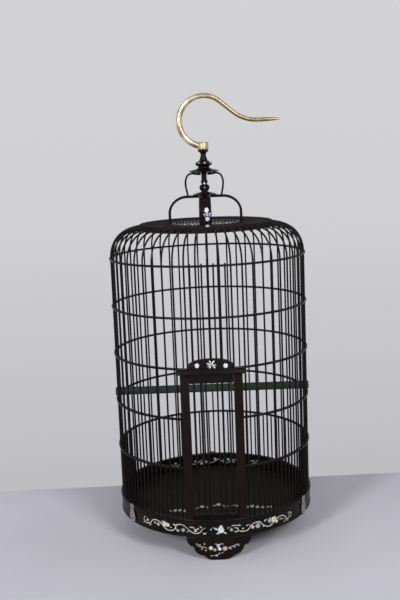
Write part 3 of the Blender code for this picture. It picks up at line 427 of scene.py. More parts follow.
base = {
    "bandIn": 176.5 * mm, "bandOut": 181.4 * mm, "bandLow": 42.3 * mm, "bandHigh": 68.4 * mm,
    "beadOut": 182.2 * mm, "beadH": 2.6 * mm, "sides": 168,
    "railIn": 174.5 * mm, "railOut": 182.9 * mm, "railLow": 68.7 * mm, "railHigh": 75.0 * mm, "railSoft": 1.6 * mm,
    "floorR": 176.2 * mm, "floorLow": 42.3 * mm, "floorHigh": 46.5 * mm,
}
around = np.linspace(0, 2 * pi, base["sides"], endpoint=False)
lowBead, highBead = base["bandLow"] + base["beadH"], base["bandHigh"] - base["beadH"]
bandProfile = softCorners([
    (base["bandIn"], base["bandLow"]), (base["beadOut"], base["bandLow"]), (base["beadOut"], lowBead),
    (base["bandOut"], lowBead), (base["bandOut"], highBead), (base["beadOut"], highBead),
    (base["beadOut"], base["bandHigh"]), (base["bandIn"], base["bandHigh"]),
], [0.6 * mm, 0.9 * mm, 0.9 * mm, 0.3 * mm, 0.3 * mm, 0.9 * mm, 0.9 * mm, 0.6 * mm])
piece("base_band_hoop", [ringShape(bandProfile, around)], "cage", lacquerLevel,
      ["base_band"], wrap=True)
railProfile = softCorners([
    (base["railIn"], base["railLow"]), (base["railOut"], base["railLow"]),
    (base["railOut"], base["railHigh"]), (base["railIn"], base["railHigh"]),
], base["railSoft"])
floorRows = np.array([(base["floorR"] - 0.4 * mm, base["floorLow"]), (base["floorR"], base["floorLow"] + 0.4 * mm),
                      (base["floorR"], base["floorHigh"] - 0.4 * mm), (base["floorR"] - 0.4 * mm, base["floorHigh"])])
piece("floor_board_worn", [turnedShape(floorRows, base["sides"])], "cage", dulledFloor,
      ["floor_board"])

# A vine of shell round the band, from post to post: tendrils with leaves and round blossoms between them
bandVine = {
    "stems": (
        ("stem", 0.85, ((-141.5, 64.5), (-146, 62), (-147, 57.5), (-142.5, 53.5), (-136.5, 53), (-130, 55.5),
                        (-126, 60.5), (-118.5, 64), (-110, 63), (-103.5, 58.5), (-97.5, 52.5), (-88, 49.5),
                        (-79, 52), (-75, 57.5), (-73, 62), (-66, 64), (-58.5, 62), (-51, 56), (-44, 51),
                        (-37, 49.5), (-29.5, 52), (-26, 57), (-20, 60.5))),
        ("stem", 0.75, ((-25, 50.5), (-21.5, 48.8), (-19, 51.5))),
        ("stem", 0.75, ((-75, 55), (-71.5, 50.5), (-68, 53))),
        ("stem", 0.75, ((31, 58), (36.5, 57), (37.5, 53), (34, 50), (31, 52.5))),
        ("stem", 0.85, ((37, 54), (41, 51), (48, 49.5), (55, 51), (60, 55.5), (65, 60.5), (72.5, 62.5), (80, 61),
                        (84.5, 55.5), (92, 50.5), (99.5, 49.5), (107, 53), (112, 57.5), (118, 60.5),
                        (126.5, 61.5), (134.5, 58.5), (138.5, 53.5), (136, 49), (130, 47.8))),
        ("stem", 0.75, ((137, 50.5), (143.5, 51.5), (150.5, 53), (152.8, 58), (148, 62), (144.5, 59.5))),
        ("stem", 0.65, ((25.2, 61.8), (32, 62.6), (38, 61.4))),
        ("white", 0.45, ((-7.6, 61.2), (-3, 58.6), (1.2, 55.6))),
    ),
    "leaves": (
        ("green", -102, 63.8, 10, 6.5, 2.6), ("white", -77.5, 61.5, -20, 6.5, 2.4),
        ("green", -70.6, 52.8, 35, 6, 2.6), ("pink", -44, 59.2, -8, 12, 3.0), ("green", -28.9, 61.1, -25, 7, 3.0),
        ("white", -33.5, 57.5, 15, 5, 2.0), ("pink", -130.5, 51.2, 20, 6, 2.2), ("green", -52, 51.5, 40, 5.5, 2.4),
        ("pink", -10, 57, 60, 5, 2.0), ("white", -1.9, 57.6, -28, 8, 3.2), ("white", 13.6, 49.8, -30, 8, 2.4),
        ("white", 2.3, 49.6, 15, 8, 2.4), ("pink", 20.6, 58.7, 30, 6, 2.2), ("green", 40, 61.3, -15, 6.5, 2.8),
        ("pink", 55.2, 59.6, 30, 6.5, 2.6), ("pink", 60.3, 57.6, -35, 5, 2.2), ("white", 90.4, 61.6, 35, 7, 2.6),
        ("green", 102.4, 51.4, -20, 6, 2.6), ("pink", 119.5, 56.5, 50, 5, 2.0), ("green", 131, 53.8, -15, 5, 2.2),
        ("pink", 147, 57.3, 60, 4.5, 2.0),
    ),
    "blossoms": (
        ("cream", -97.5, 60.0, 5.9, 8, "white"), ("cream", -90.8, 59.5, 4.0, 6, "pink"),
        ("pink", -111.5, 57, 3.8, 6, "white"), ("green", -119, 58.5, 2.8, 5, "white"),
        ("green", -60.8, 54, 4.0, 6, "white"), ("pink", -137, 58.8, 3.3, 5, "white"),
        ("white", 7, 55.9, 6.4, 8, "cream"), ("white", 7.4, 61.7, 3.1, 5, "blue"),
        ("green", 25.6, 55, 3.3, 5, "white"), ("cream", 64.9, 54.6, 3.1, 5, "white"),
        ("green", 74.7, 55.5, 5.4, 8, "white"), ("green", 99.9, 60.0, 5.2, 7, "cream"),
        ("cream", 108.5, 59.4, 6.1, 8, "green"), ("cream", 114.6, 53.8, 3.1, 5, "white"),
        ("white", -38, 54.9, 2.8, 5, "pink"),
    ),
    "dots": (("cream", 125, 56.1, 1.5), ("white", -147.5, 52.2, 1.2), ("white", 86, 52.0, 1.1), ("cream", 46.5, 55.0, 1.4),
             ("white", -84.5, 55.5, 1.3), ("white", 142.5, 47.9, 1.1)),
}
inlay("band_vine", bandVine, onDrum(base["bandOut"]))

# The same kind of vine on the band's inner face, which shows through the bars at the back, all in the greyer shell
# whose darkness is painted shade
innerVine = {
    "stems": (
        ("shadedGrey", 0.6, ((-49, 57), (-43, 61), (-36, 60), (-30, 55), (-22, 53.5), (-15, 57), (-8, 61), (0, 58),
                      (8, 54.5), (16, 56), (23, 60.5), (31, 60), (38, 55.5), (46, 54), (52, 58))),
        ("shadedGrey", 0.6, ((-104, 60), (-96, 56), (-89, 58), (-82, 62), (-76, 59))),
        ("shadedGrey", 0.6, ((76, 60), (83, 56), (90, 57), (97, 61), (104, 58))),
    ),
    "leaves": (("shadedGrey", -39, 56, 40, 6, 2.6), ("shadedGrey", -19, 60, -30, 6, 2.6), ("shadedGrey", 20, 55, 30, 6, 2.6),
               ("shadedGrey", 42, 60, -30, 6, 2.6), ("shadedGrey", -92, 62.5, 20, 6, 2.4), ("shadedGrey", 93, 54, -20, 6, 2.4)),
    "blossoms": (("shadedGrey", 0, 62.3, 3.4, 6, "stem"), ("shadedGrey", -28, 61, 3.2, 6, "stem"), ("shadedGrey", 29, 54, 3.2, 6, "stem"),
                 ("shadedGrey", -84, 55, 2.6, 5, "stem"), ("shadedGrey", 87, 62, 2.6, 5, "stem")),
}
innerFace = onDrum(base["bandIn"], -1)
inlay("inner_vine", innerVine, lambda s, z, lift: innerFace(s + pi * base["bandIn"], z, lift))

# A loose garland across the front half of the floor board, in the greyer shell whose darkness is painted shade
floorGarland = {
    "stems": (
        ("shadedGrey", 0.6, ((-88.7, -61.5), (-84.1, -66.7), (-77.7, -61))),
        ("shadedGrey", 0.6, ((-40, -56), (-33, -51), (-26.7, -48.3))),
        ("shadedGrey", 0.6, ((5.1, -40.1), (12, -44), (17.1, -50.7))),
        ("shadedGrey", 0.6, ((38.3, -49.1), (46, -52), (54, -57))),
        ("shadedGrey", 0.6, ((80.5, -60.7), (86, -64), (92.3, -63.7))),
    ),
    "leaves": (("shadedGrey", -84, -65, 20, 9, 6), ("shadedGrey", -68, -62, 75, 12, 6), ("shadedGrey", -20, -52, -35, 10, 7),
               ("shadedGrey", 20, -52, 60, 12, 6), ("shadedGrey", 33, -47, 80, 12, 5), ("shadedGrey", 58, -58, -30, 9, 6),
               ("shadedGrey", 88, -60, 35, 9, 6), ("shadedGrey", -4, -45, -20, 8, 5)),
    "blossoms": (("shadedGrey", -76, -62, 6.0, 5, "stem"), ("shadedGrey", -59.1, -66, 5.2, 5, "stem"),
                 ("shadedGrey", -27, -48, 6.4, 6, "stem"), ("shadedGrey", 5.1, -40.1, 6.4, 6, "stem"),
                 ("shadedGrey", 42.3, -49, 6.4, 6, "stem"), ("shadedGrey", 66, -54, 6.2, 5, "stem"),
                 ("shadedGrey", 78, -58, 5.4, 5, "stem"), ("shadedGrey", 99.8, -59.5, 5.4, 5, "stem")),
    "dots": (("shadedGrey", -92, -60, 2.4), ("shadedGrey", -34, -55, 2.4), ("shadedGrey", 13.5, -46.5, 2.6), ("shadedGrey", 72, -47, 2.4)),
}
inlay("floor_garland", floorGarland, onLevel(base["floorHigh"]))
print("base and its inlay made")

feet = {
    "in": 171.5 * mm, "out": 181.0 * mm, "high": 42.0 * mm, "halfWidth": 58.0 * mm, "soft": 1.3 * mm,
    "turn": radians(0.9), "places": {"front": 0.0, "rear_right": radians(120), "rear_left": radians(-120)},
    "lobeShares": ((1.0, 0.90), (0.775, 0.55), (0.42, 0.17), (0.15, 0.0)), "lobeSteps": 9,
}
quarter = np.linspace(0, pi / 2, feet["lobeSteps"] + 1)
lobes = np.vstack([
    np.stack([u1 + (u0 - u1) * np.cos(quarter), v0 - (v0 - v1) * np.sin(quarter)], -1)
    for (u0, v0), (u1, v1) in zip(feet["lobeShares"], feet["lobeShares"][1:])
])
keep = np.r_[True, np.diff(lobes[:, 0]) < -1e-4]  # the lobes meet in one point
lobes = lobes[keep]
edgeShares = np.vstack([lobes * (-1, 1), lobes[::-1]])


def footShape(azimuth):
    # Each row is a soft-cornered section from the lobed edge up to the flat top, wrapped on the base's circle
    turn = azimuth + feet["turn"] + edgeShares[:, 0] * feet["halfWidth"] / feet["out"]
    low, high = edgeShares[:, 1] * feet["high"], np.full(len(edgeShares), feet["high"])
    inner, outer = np.full(len(turn), feet["in"]), np.full(len(turn), feet["out"])
    corners = np.stack([np.stack([inner, outer, outer, inner], -1), np.stack([low, low, high, high], -1)], -1)
    loops = softCorners(corners, feet["soft"])
    return polar(loops[..., 0], turn[:, None], loops[..., 1])


# A bunch of blossoms across the top of the front foot and one sprig that hangs below it
footBunch = {
    "stems": (("stem", 0.5, ((-37.3, 26.6), (-33, 25.8), (-29.3, 24), (-24, 24.6), (-18, 22))),
              ("white", 0.5, ((-4, 30.2), (-1.5, 29.6), (1.6, 27.6))), ("white", 0.5, ((1.6, 27.6), (6, 29.8), (10.6, 29.5))),
              ("stem", 0.5, ((17.5, 22), (23, 23.4), (28.6, 24.5), (33, 26.6), (37.8, 26.9))),
              ("stem", 0.5, ((4.4, 14.4), (1.5, 11), (-3, 9.2), (-8, 8.4)))),
    "leaves": (("green", -31.5, 27.6, -20, 6, 2.4), ("pink", 22.2, 20.2, -25, 7, 3.0), ("green", 31, 22.4, 30, 6, 2.4),
               ("pink", -10.8, 7.6, 25, 5, 2.4), ("white", -2.1, 7.6, -20, 4.5, 2.0), ("green", 8.5, 13.2, 35, 5, 2.2),
               ("pink", -27.0, 20.5, 30, 5.5, 2.4)),
    "blossoms": (("cream", -11.8, 22.6, 4.0, 7, "white"), ("pink", -4.7, 19.4, 3.0, 6, "white"),
                 ("white", 3.6, 20.6, 3.4, 6, "cream"), ("blue", 1.6, 26.2, 3.2, 6, "white"),
                 ("pink", 13.1, 21, 4.6, 8, "cream")),
    "dots": (("white", -22.9, 30.2, 1.3), ("pink", -20.5, 18.3, 1.3), ("white", 37.6, 24.6, 1.1), ("cream", -36.8, 29.6, 1.1)),
}
for name, azimuth in feet["places"].items():
    piece(f"bracket_foot_{name}", [footShape(azimuth)], "cage", rosewoodLevel, [f"foot_{name}"])
face = onDrum(feet["out"])
inlay("foot_bunch", footBunch, face)

ornaments = {
    "halfWidth": 10.0 * mm, "low": 42.3 * mm, "high": 77.0 * mm, "back": 183.5 * mm, "thick": 1.2 * mm,
    "relief": 0.4 * mm, "rows": 5,
    "places": {"right": radians(61.5), "left": radians(-57.5), "rear": radians(181.5)},
    "shares": ((0.30, 0), (0.58, 0.06), (0.86, 0.15), (1.0, 0.28), (0.96, 0.42), (0.74, 0.56), (0.54, 0.67),
               (0.48, 0.77), (0.62, 0.83), (0.68, 0.90), (0.55, 0.97), (0.25, 1.0)),
}


def vaseShape(azimuth):
    # Half widths follow a curve through the shares. The face is domed, 1 - s^4 across the width, and carved
    # with ribs that part from the middle line: a cosine of the place up the face, bent by the place across it.
    outline = curveThrough(ornaments["shares"], 6)
    across = np.linspace(-1, 1, 25)[None, :]
    up = np.clip(outline[:, 1:], 0, 1)
    carved = np.cos(2 * pi * (ornaments["rows"] * up - 1.2 * np.abs(across))) * (1 - across ** 6) * np.sin(pi * up)
    front = ornaments["thick"] * (0.35 + 0.65 * (1 - across ** 4)) - ornaments["relief"] * (0.5 - 0.5 * carved)
    depth = np.concatenate([np.zeros_like(front), np.clip(front, 0.1 * mm, None)[:, ::-1]], 1)
    s = np.concatenate([across, across[:, ::-1]], 1)
    z = ornaments["low"] + up * (ornaments["high"] - ornaments["low"])
    turn = azimuth + s * outline[:, :1] * ornaments["halfWidth"] / ornaments["back"]
    return polar(ornaments["back"] + depth, turn, z)


for name, azimuth in ornaments["places"].items():
    piece(f"carved_vase_{name}", [vaseShape(azimuth)], "cage", pearls["carved"], [f"ornament_{name}"],
          sharp=60)
print("feet and ornaments made")


# Bars and hoops

bars = {
    "count": 56, "radius": 1.6 * mm, "circle": 178.5 * mm, "foot": 71.0 * mm, "topHoop": 522.1 * mm,
    "rise": 55 * mm, "power": 2.2, "plate": 123.6 * mm, "sides": 10, "steps": 14, "shortPerSide": 2,
    "shortFoot": 344.7 * mm, "lowTop": 169.1 * mm,
}
bay = 2 * pi / bars["count"]


def barShape(azimuth, foot):
    # Upright, then over the shoulder: r and z follow cos and sin of the turn, each to the power 2/2.2
    turn = np.linspace(0, pi / 2, bars["steps"] + 1)
    inward = np.maximum(np.cos(turn), 0) ** (2 / bars["power"])
    upward = np.sin(turn) ** (2 / bars["power"])
    r = np.r_[bars["circle"], bars["plate"] + (bars["circle"] - bars["plate"]) * inward]
    z = np.r_[foot, bars["topHoop"] + bars["rise"] * upward]
    path = polar(r, azimuth, z)
    return rodShape(path, bars["radius"], bars["sides"], (cos(azimuth), sin(azimuth), 0))


def lowBarShape(azimuth):
    # A straight bar that ends in the lowest hoop
    path = polar(bars["circle"], azimuth, np.array([bars["foot"], bars["lowTop"]]))
    return rodShape(path, bars["radius"], bars["sides"], (cos(azimuth), sin(azimuth), 0))


reach = bars["shortPerSide"]
longBars = [barShape(k * bay, bars["foot"]) for k in range(reach + 1, bars["count"] - reach)]
shortBars = [barShape(k * bay, bars["shortFoot"]) for k in range(-reach, reach + 1)]
lowBars = [lowBarShape((k + 0.5) * bay) for k in range(reach + 1, bars["count"] - reach - 1)]
segments = [f"bars_{side}" for side in ("front", "front_right", "right", "rear_right", "rear", "rear_left",
                                        "left", "front_left")]
piece("long_bars", longBars, "cage", lacquerBent, segments)
piece("short_bars_over_door", shortBars, "cage", lacquerBent)
piece("low_bars", lowBars, "cage", lacquerBent)
piece("bar_rail", [ringShape(railProfile, around)], "cage", lacquerLevel, wrap=True)

hoops = {
    "in": 176.2 * mm, "out": 182.2 * mm, "high": 3.6 * mm, "soft": 1.3 * mm, "spacing": 88.7 * mm,
    "lowest": 167.3 * mm, "count": 5, "open": 2, "doorHalf": 54.3 * mm,
}
for number in range(1, hoops["count"] + 1):
    middle = hoops["lowest"] + (number - 1) * hoops["spacing"]
    low, high = middle - hoops["high"] / 2, middle + hoops["high"] / 2
    profile = softCorners([(hoops["in"], low), (hoops["out"], low), (hoops["out"], high), (hoops["in"], high)],
                          hoops["soft"])
    isOpen = number <= hoops["open"]
    start = np.arcsin(hoops["doorHalf"] / bars["circle"])
    azimuths = np.linspace(start, 2 * pi - start, 150) if isOpen else around
    piece(f"drilled_hoop_{number}", [ringShape(profile, azimuths)], "cage", lacquerLevel,
          [f"hoop_{number}"], wrap=not isOpen)
print("bars and hoops made")


# Door frame and door

frontX, frontZ, alongX = (1, 0, 0), (0, 0, 1), (0, 1, 0)
frameSizes = {
    "postIn": 38.46 * mm, "postOut": 53.96 * mm, "front": -177.0 * mm, "back": -163.0 * mm, "foot": 75.3 * mm,
    "top": 342.6 * mm, "grooveDeep": 3.0 * mm, "grooveHalf": 2.1 * mm, "doorY": -171.5 * mm,
    "lintelLow": 319.4 * mm, "lintelBack": -166.0 * mm,
}
for side, name in ((-1, "left"), (1, "right")):
    inner, outer = frameSizes["postIn"], frameSizes["postOut"]
    groove = inner + frameSizes["grooveDeep"]
    near, far = frameSizes["doorY"] - frameSizes["grooveHalf"], frameSizes["doorY"] + frameSizes["grooveHalf"]
    section = softCorners([
        (side * inner, frameSizes["front"]), (side * outer, frameSizes["front"]),
        (side * outer, frameSizes["back"]), (side * inner, frameSizes["back"]),
        (side * inner, far), (side * groove, far), (side * groove, near), (side * inner, near),
    ], [2.0 * mm, 2.4 * mm, 1.0 * mm, 1.0 * mm, 0.3 * mm, 0.2 * mm, 0.2 * mm, 0.3 * mm])
    post = slabShape(section, frameSizes["foot"], frameSizes["top"], 0.3 * mm, ((1, 0, 0), (0, 1, 0), (0, 0, 1)))
    piece(f"grooved_post_{name}", [post], "cage", rosewoodUpright, [f"door_post_{name}"])

lintelHalf = frameSizes["postIn"] - 0.3 * mm
section = softCorners([
    (frameSizes["front"], frameSizes["lintelLow"]), (frameSizes["lintelBack"], frameSizes["lintelLow"]),
    (frameSizes["lintelBack"], frameSizes["top"]), (frameSizes["front"], frameSizes["top"]),
], 1.0 * mm)
yzx = ((0, 1, 0), (0, 0, 1), (1, 0, 0))
piece("lintel_board", [slabShape(section, -lintelHalf, lintelHalf, 0.3 * mm, yzx)], "cage",
      lacquerLevel, ["door_lintel"])

cap = {"half": 58.76 * mm, "back": -177.3 * mm, "front": -187.0 * mm, "low": 337.0 * mm, "ledge": 342.6 * mm,
       "high": 348.0 * mm, "lip": -182.5 * mm}
section = softCorners([
    (cap["back"], cap["low"]), (cap["front"] + 1.2 * mm, cap["low"]), (cap["front"], cap["low"] + 1.6 * mm),
    (cap["front"], cap["ledge"] - 1.4 * mm), (cap["front"] + 1.6 * mm, cap["ledge"]),
    (cap["front"] + 1.2 * mm, cap["high"] - 1.8 * mm), (cap["front"] + 0.2 * mm, cap["high"]),
    (cap["lip"], cap["high"]), (cap["lip"], cap["ledge"]), (cap["back"], cap["ledge"]),
], 0.5 * mm)
piece("moulded_header_cap", [slabShape(section, -cap["half"], cap["half"], 0.5 * mm, yzx)], "cage",
      burnished, ["header_cap"])

pediment = {"half": 40.5 * mm, "high": 17.0 * mm, "foot": 348.3 * mm, "front": -186.6 * mm, "back": -182.8 * mm,
            "power": 2.4}
turn = np.linspace(0, pi, 49)
arch = np.stack([
    np.sign(np.cos(turn)) * np.abs(np.cos(turn)) ** (2 / pediment["power"]) * pediment["half"],
    pediment["foot"] + pediment["high"] * np.clip(np.sin(turn), 0, 1) ** (2 / pediment["power"]),
], -1)
xzy = ((1, 0, 0), (0, 0, 1), (0, 1, 0))
piece("arched_pediment", [slabShape(arch, pediment["front"], pediment["back"], 0.6 * mm, xzy)], "cage",
      rosewoodLevel, ["header_pediment"])

# A spray of slender leaves between two shell discs, over the door
pedimentFlower = {
    "leaves": (("white", 4.4, 358.2, 52, 8.6, 3.2), ("white", -0.6, 359.6, 108, 7, 2.4), ("white", -3.6, 356.2, 158, 8, 2.6),
               ("blue", -3.2, 352.6, 205, 7, 2.4), ("white", -1.4, 350.4, 238, 5.6, 2.2),
               ("white", 4.8, 350.6, -48, 8, 2.8), ("blue", 6.6, 353.6, -12, 6, 2.2), ("white", 1.4, 354.6, 20, 4.4, 2.6)),
    "dots": (("white", -23.4, 353.7, 4.0), ("white", 25.2, 352.1, 4.0)),
}
inlay("pediment_flower", pedimentFlower, onFront(pediment["front"]))

door = {
    "y": -171.5 * mm, "rods": (-29.9 * mm, -10.0 * mm, 10.0 * mm, 29.9 * mm), "rodR": 1.5 * mm,
    "rodFoot": 78.6 * mm, "rodTop": 526.1 * mm, "stileX": 18.29 * mm, "stileR": 1.9 * mm, "stileFoot": 83.6 * mm,
    "stileTop": 351.6 * mm, "railLow": 75.3 * mm, "railHigh": 83.3 * mm, "railHalf": 41.15 * mm,
    "railThick": 3.6 * mm,
}


def uprightRod(x, radius, foot, top):
    # A straight rod whose top is rounded: the last radii follow a quarter circle
    turn = np.linspace(0, pi / 2, 6)[:-1]
    z = np.r_[foot, foot + 1 * mm, top - radius + radius * np.sin(turn)]
    radii = np.r_[radius, radius, radius * np.cos(turn)]
    path = np.stack([np.full(len(z), x), np.full(len(z), door["y"]), z], -1)
    return rodShape(path, radii, 12, (0, 1, 0))


for number, x in enumerate(door["rods"], 1):
    piece(f"door_slide_rod_{number}", [uprightRod(x, door["rodR"], door["rodFoot"], door["rodTop"])], "door",
          lacquerUpright, [f"door_rod_{number}"])
for side, name in ((-1, "left"), (1, "right")):
    stile = uprightRod(side * door["stileX"], door["stileR"], door["stileFoot"], door["stileTop"])
    piece(f"door_round_stile_{name}", [stile], "door", lacquerUpright, [f"door_stile_{name}"])
section = softCorners([
    (door["y"] - door["railThick"] / 2, door["railLow"]), (door["y"] + door["railThick"] / 2, door["railLow"]),
    (door["y"] + door["railThick"] / 2, door["railHigh"]), (door["y"] - door["railThick"] / 2, door["railHigh"]),
], 0.9 * mm)
piece("door_bottom_rail", [slabShape(section, -door["railHalf"], door["railHalf"], 0.4 * mm, yzx)], "door",
      lacquerLevel, ["door_rail"])
print("door and its frame made")


# Perch

perch = {"r": 7.5 * mm, "z": 265.2 * mm, "inner": 176.5 * mm, "half": 184.0 * mm, "slotHalf": 1.9 * mm}


def perchShapes():
    # A round rod, and past the bar at each end two prongs: circle segments on both sides of the slot
    x = np.r_[-perch["inner"], np.linspace(-perch["inner"] + 1 * mm, perch["inner"] - 1 * mm, 60), perch["inner"]]
    path = np.stack([x, np.zeros(len(x)), np.full(len(x), perch["z"])], -1)
    shapes = [rodShape(path, perch["r"], 28, (0, 1, 0))]
    slotTurn = np.arcsin(perch["slotHalf"] / perch["r"])
    arc = np.linspace(slotTurn, pi - slotTurn, 14)
    for end in (-1, 1):
        for side in (-1, 1):
            y, z = side * perch["r"] * np.sin(arc), perch["z"] + perch["r"] * np.cos(arc)
            loops = [np.stack([np.full(14, end * place), y, z], -1)
                     for place in (perch["inner"] - 2 * mm, perch["half"] - 0.5 * mm)]
            shapes.append(np.stack(loops))
    return shapes


piece("gritted_perch", perchShapes(), "cage", grit, ["perch"])
print("perch made")


# Top plate: a thin panel inside a deep wall, with a raised rim

plate = {"r": 123.3 * mm, "opening": 63.0 * mm, "low": 571.65 * mm, "wallIn": 111.3 * mm, "under": 577.85 * mm,
         "field": 581.45 * mm, "rim": 582.55 * mm, "rimWidth": 5.0 * mm}
plateProfile = softCorners([
    (plate["opening"], plate["under"]), (plate["wallIn"], plate["under"]), (plate["wallIn"], plate["low"]),
    (plate["r"], plate["low"]), (plate["r"], plate["rim"]), (plate["r"] - plate["rimWidth"], plate["rim"]),
    (plate["r"] - plate["rimWidth"] - 0.8 * mm, plate["field"]), (plate["opening"], plate["field"]),
], [0.5 * mm, 0.5 * mm, 0.5 * mm, 1.2 * mm, 1.8 * mm, 0.9 * mm, 0.8 * mm, 0.5 * mm])
piece("rimmed_top_plate", [ringShape(plateProfile, around)], "cage", dulledTop,
      ["top_plate"], wrap=True)
print("top plate made")


# Crown

crown = {
    "armZ": 629.55 * mm, "armT": 4.4 * mm, "armTopW": 19.8 * mm, "armFootW": 23.0 * mm, "armFootR": 65.9 * mm,
    "cornerW": 33 * mm, "cornerH": 30 * mm, "hubR": 10.5 * mm, "plateZ": 581.75 * mm,
    "spindleZ": 638.55 * mm, "spindleR": 9.5 * mm, "spindleH": 33.2 * mm, "smallR": 34.6 * mm, "smallT": 3.4 * mm,
    "smallW": 9.5 * mm, "lowerZ": 632.05 * mm, "lowerR": 22.2 * mm, "lowerH": 6.2 * mm, "upperZ": 672.05 * mm,
    "upperR": 27.8 * mm, "upperH": 9.1 * mm, "finialZ": 681.45 * mm, "finialR": 15.3 * mm, "finialH": 33.2 * mm,
    "petals": 8, "notchShare": 0.07,
}
turn = np.linspace(0, pi / 2, 15)
corner = crown["armFootR"] - crown["cornerW"]
armPath = np.vstack([
    [(crown["hubR"] + 0.3 * mm, crown["armZ"]), (corner - 8 * mm, crown["armZ"])],
    np.stack([corner + crown["cornerW"] * np.sin(turn), crown["armZ"] - crown["cornerH"] * (1 - np.cos(turn))], -1),
    [(crown["armFootR"], crown["plateZ"] + 10 * mm), (crown["armFootR"], crown["plateZ"])],
])
spread = np.r_[0, np.cumsum(np.linalg.norm(np.diff(armPath, axis=0), axis=1))]
armWidths = crown["armTopW"] + (crown["armFootW"] - crown["armTopW"]) * spread / spread[-1]
smallShares = np.array([(0.17, 0.945), (0.42, 0.96), (0.66, 1.0), (0.87, 0.90), (0.975, 0.68), (1.0, 0.45),
                        (0.975, 0.20), (0.90, -0.19)])
smallKnots = smallShares * (crown["smallR"], crown["spindleH"]) + (0, crown["spindleZ"])
smallKnots[-1, 1] = crown["armZ"] + crown["armT"] / 2 + 0.3 * mm
smallPath = curveThrough(smallKnots, 5)
smallWidths = crown["smallW"] * np.minimum(1, 0.5 + np.linspace(0, 6, len(smallPath)))
for index, name in enumerate(("front", "right", "rear", "left")):
    azimuth = index * pi / 2
    piece(f"bent_arm_{name}", [strapShape(armPath, armWidths, crown["armT"], azimuth, 1.0 * mm)], "cage",
          rosewoodUpright, [f"large_arm_{name}"])
    piece(f"small_bent_arm_{name}", [strapShape(smallPath, smallWidths, crown["smallT"], azimuth, 0.8 * mm)],
          "cage", lacquerUpright, [f"small_arm_{name}"])
hubRows = np.array([(crown["hubR"] - 0.3 * mm, -2.2 * mm), (crown["hubR"], -1.9 * mm), (crown["hubR"], 1.9 * mm),
                    (crown["hubR"] - 0.3 * mm, 2.2 * mm)]) + (0, crown["armZ"])
piece("arm_hub_disc", [turnedShape(hubRows, 40)], "cage", lacquerLevel, ["arm_hub"])


def petalRipple(azimuths):
    # 1 at the middle of each petal, less in the notches: 1 - share (1 - |cos(n a / 2)|)
    return 1 - crown["notchShare"] * (1 - np.abs(np.cos(crown["petals"] / 2 * azimuths)))


def scaledProfile(shares, r, high, low, steps=5):
    curve = curveThrough(shares, steps) * (r, high)
    return np.clip(curve, (0.2 * mm, 0), (r, high)) + (0, low)


lowerShares = ((0.93, 0.0), (0.99, 0.05), (1.0, 0.13), (0.72, 0.52), (0.42, 0.82), (0.26, 1.0))
upperShares = ((0.42, 0.0), (0.70, 0.13), (0.94, 0.30), (1.0, 0.41), (0.78, 0.62), (0.52, 0.82), (0.39, 1.0))
spindleShares = ((0.62, 0), (0.90, 0.10), (1.0, 0.21), (0.86, 0.33), (0.42, 0.40), (0.62, 0.46), (0.68, 0.53),
                 (0.56, 0.64), (0.42, 0.80), (0.42, 0.90), (0.56, 1.0))
finialShares = ((0.71, 0), (0.71, 0.05), (0.66, 0.08), (0.90, 0.13), (1.0, 0.22), (0.90, 0.31), (0.62, 0.37),
                (0.49, 0.42), (0.42, 0.52), (0.33, 0.66), (0.33, 0.74), (0.44, 0.84), (0.61, 0.89), (0.63, 0.93),
                (0.63, 1.0))
piece("petalled_lower_canopy",
      [turnedShape(scaledProfile(lowerShares, crown["lowerR"], crown["lowerH"], crown["lowerZ"]), 96, petalRipple)],
      "cage", lacquerLevel, ["lower_canopy"])
piece("petalled_upper_canopy",
      [turnedShape(scaledProfile(upperShares, crown["upperR"], crown["upperH"], crown["upperZ"]), 96, petalRipple)],
      "cage", lacquerLevel, ["upper_canopy"])
piece("turned_spindle",
      [turnedShape(scaledProfile(spindleShares, crown["spindleR"], crown["spindleH"], crown["spindleZ"]), 40)],
      "cage", lacquerUpright, ["spindle"])
finialRows = scaledProfile(finialShares, crown["finialR"], crown["finialH"], crown["finialZ"])
piece("turned_finial", [turnedShape(finialRows, 48)], "cage", lacquerUpright, ["finial"])


def onArm(azimuth, path, thickness):
    # The outer face of a bent strap: across it to the right, and up along it by height, where its path falls
    outer = path[::-1]

    def place(across, z, lift):
        r = np.interp(z, outer[:, 1], outer[:, 0])
        rise = np.interp(z + 1 * mm, outer[:, 1], outer[:, 0]) - np.interp(z - 1 * mm, outer[:, 1], outer[:, 0])
        size = np.hypot(rise, 2 * mm)
        off = thickness / 2 + lift + shell["onBend"]
        point = polar(r + off * 2 * mm / size, azimuth, z - off * rise / size)
        return point + np.asarray(across)[..., None] * np.array([cos(azimuth), sin(azimuth), 0])
    return place


# Two discs and a small blossom on the front arm, and a drop on the small arm
armShell = {
    "leaves": (("blue", -1.6, 600.6, 165, 4.6, 2.6), ("blue", 8.4, 601.6, 70, 4.6, 2.6), ("blue", 1.6, 603.0, 110, 3.4, 2.0),
               ("pink", -0.6, 598.0, 220, 4, 2.0), ("blue", 8.2, 597.8, -60, 3.6, 2.2)),
    "blossoms": (("blue", 3.6, 600.2, 3.0, 6, "pink"),),
    "dots": (("white", 2.4, 607.4, 4.0), ("white", 3.6, 592.4, 3.9)),
}
inlay("front_arm", armShell, onArm(0.0, armPath, crown["armT"]))
inlay("small_arm", {"leaves": (("white", 0.4, 654.2, 90, 4.6, 3.0),), "dots": (("white", 0.5, 647.2, 0.9),)},
      onArm(0.0, smallPath[smallPath[:, 1] < 662 * mm], crown["smallT"]))

# A domed stud of shell on the plate, before the front arm: circles whose radius follows a quarter circle
stud = {"x": 3.4 * mm, "y": -98.0 * mm, "r": 4.0 * mm, "high": 3.8 * mm, "sunk": 0.4 * mm}
turn = np.linspace(0, 0.97 * pi / 2, 9)
studRows = np.stack([np.r_[stud["r"], stud["r"] * np.cos(turn)], np.r_[-stud["sunk"], stud["high"] * np.sin(turn)]], -1)
piece("plate_shell_stud", [turnedShape(studRows, 28) + (stud["x"], stud["y"], plate["field"])], "cage",
      pearls["green"])


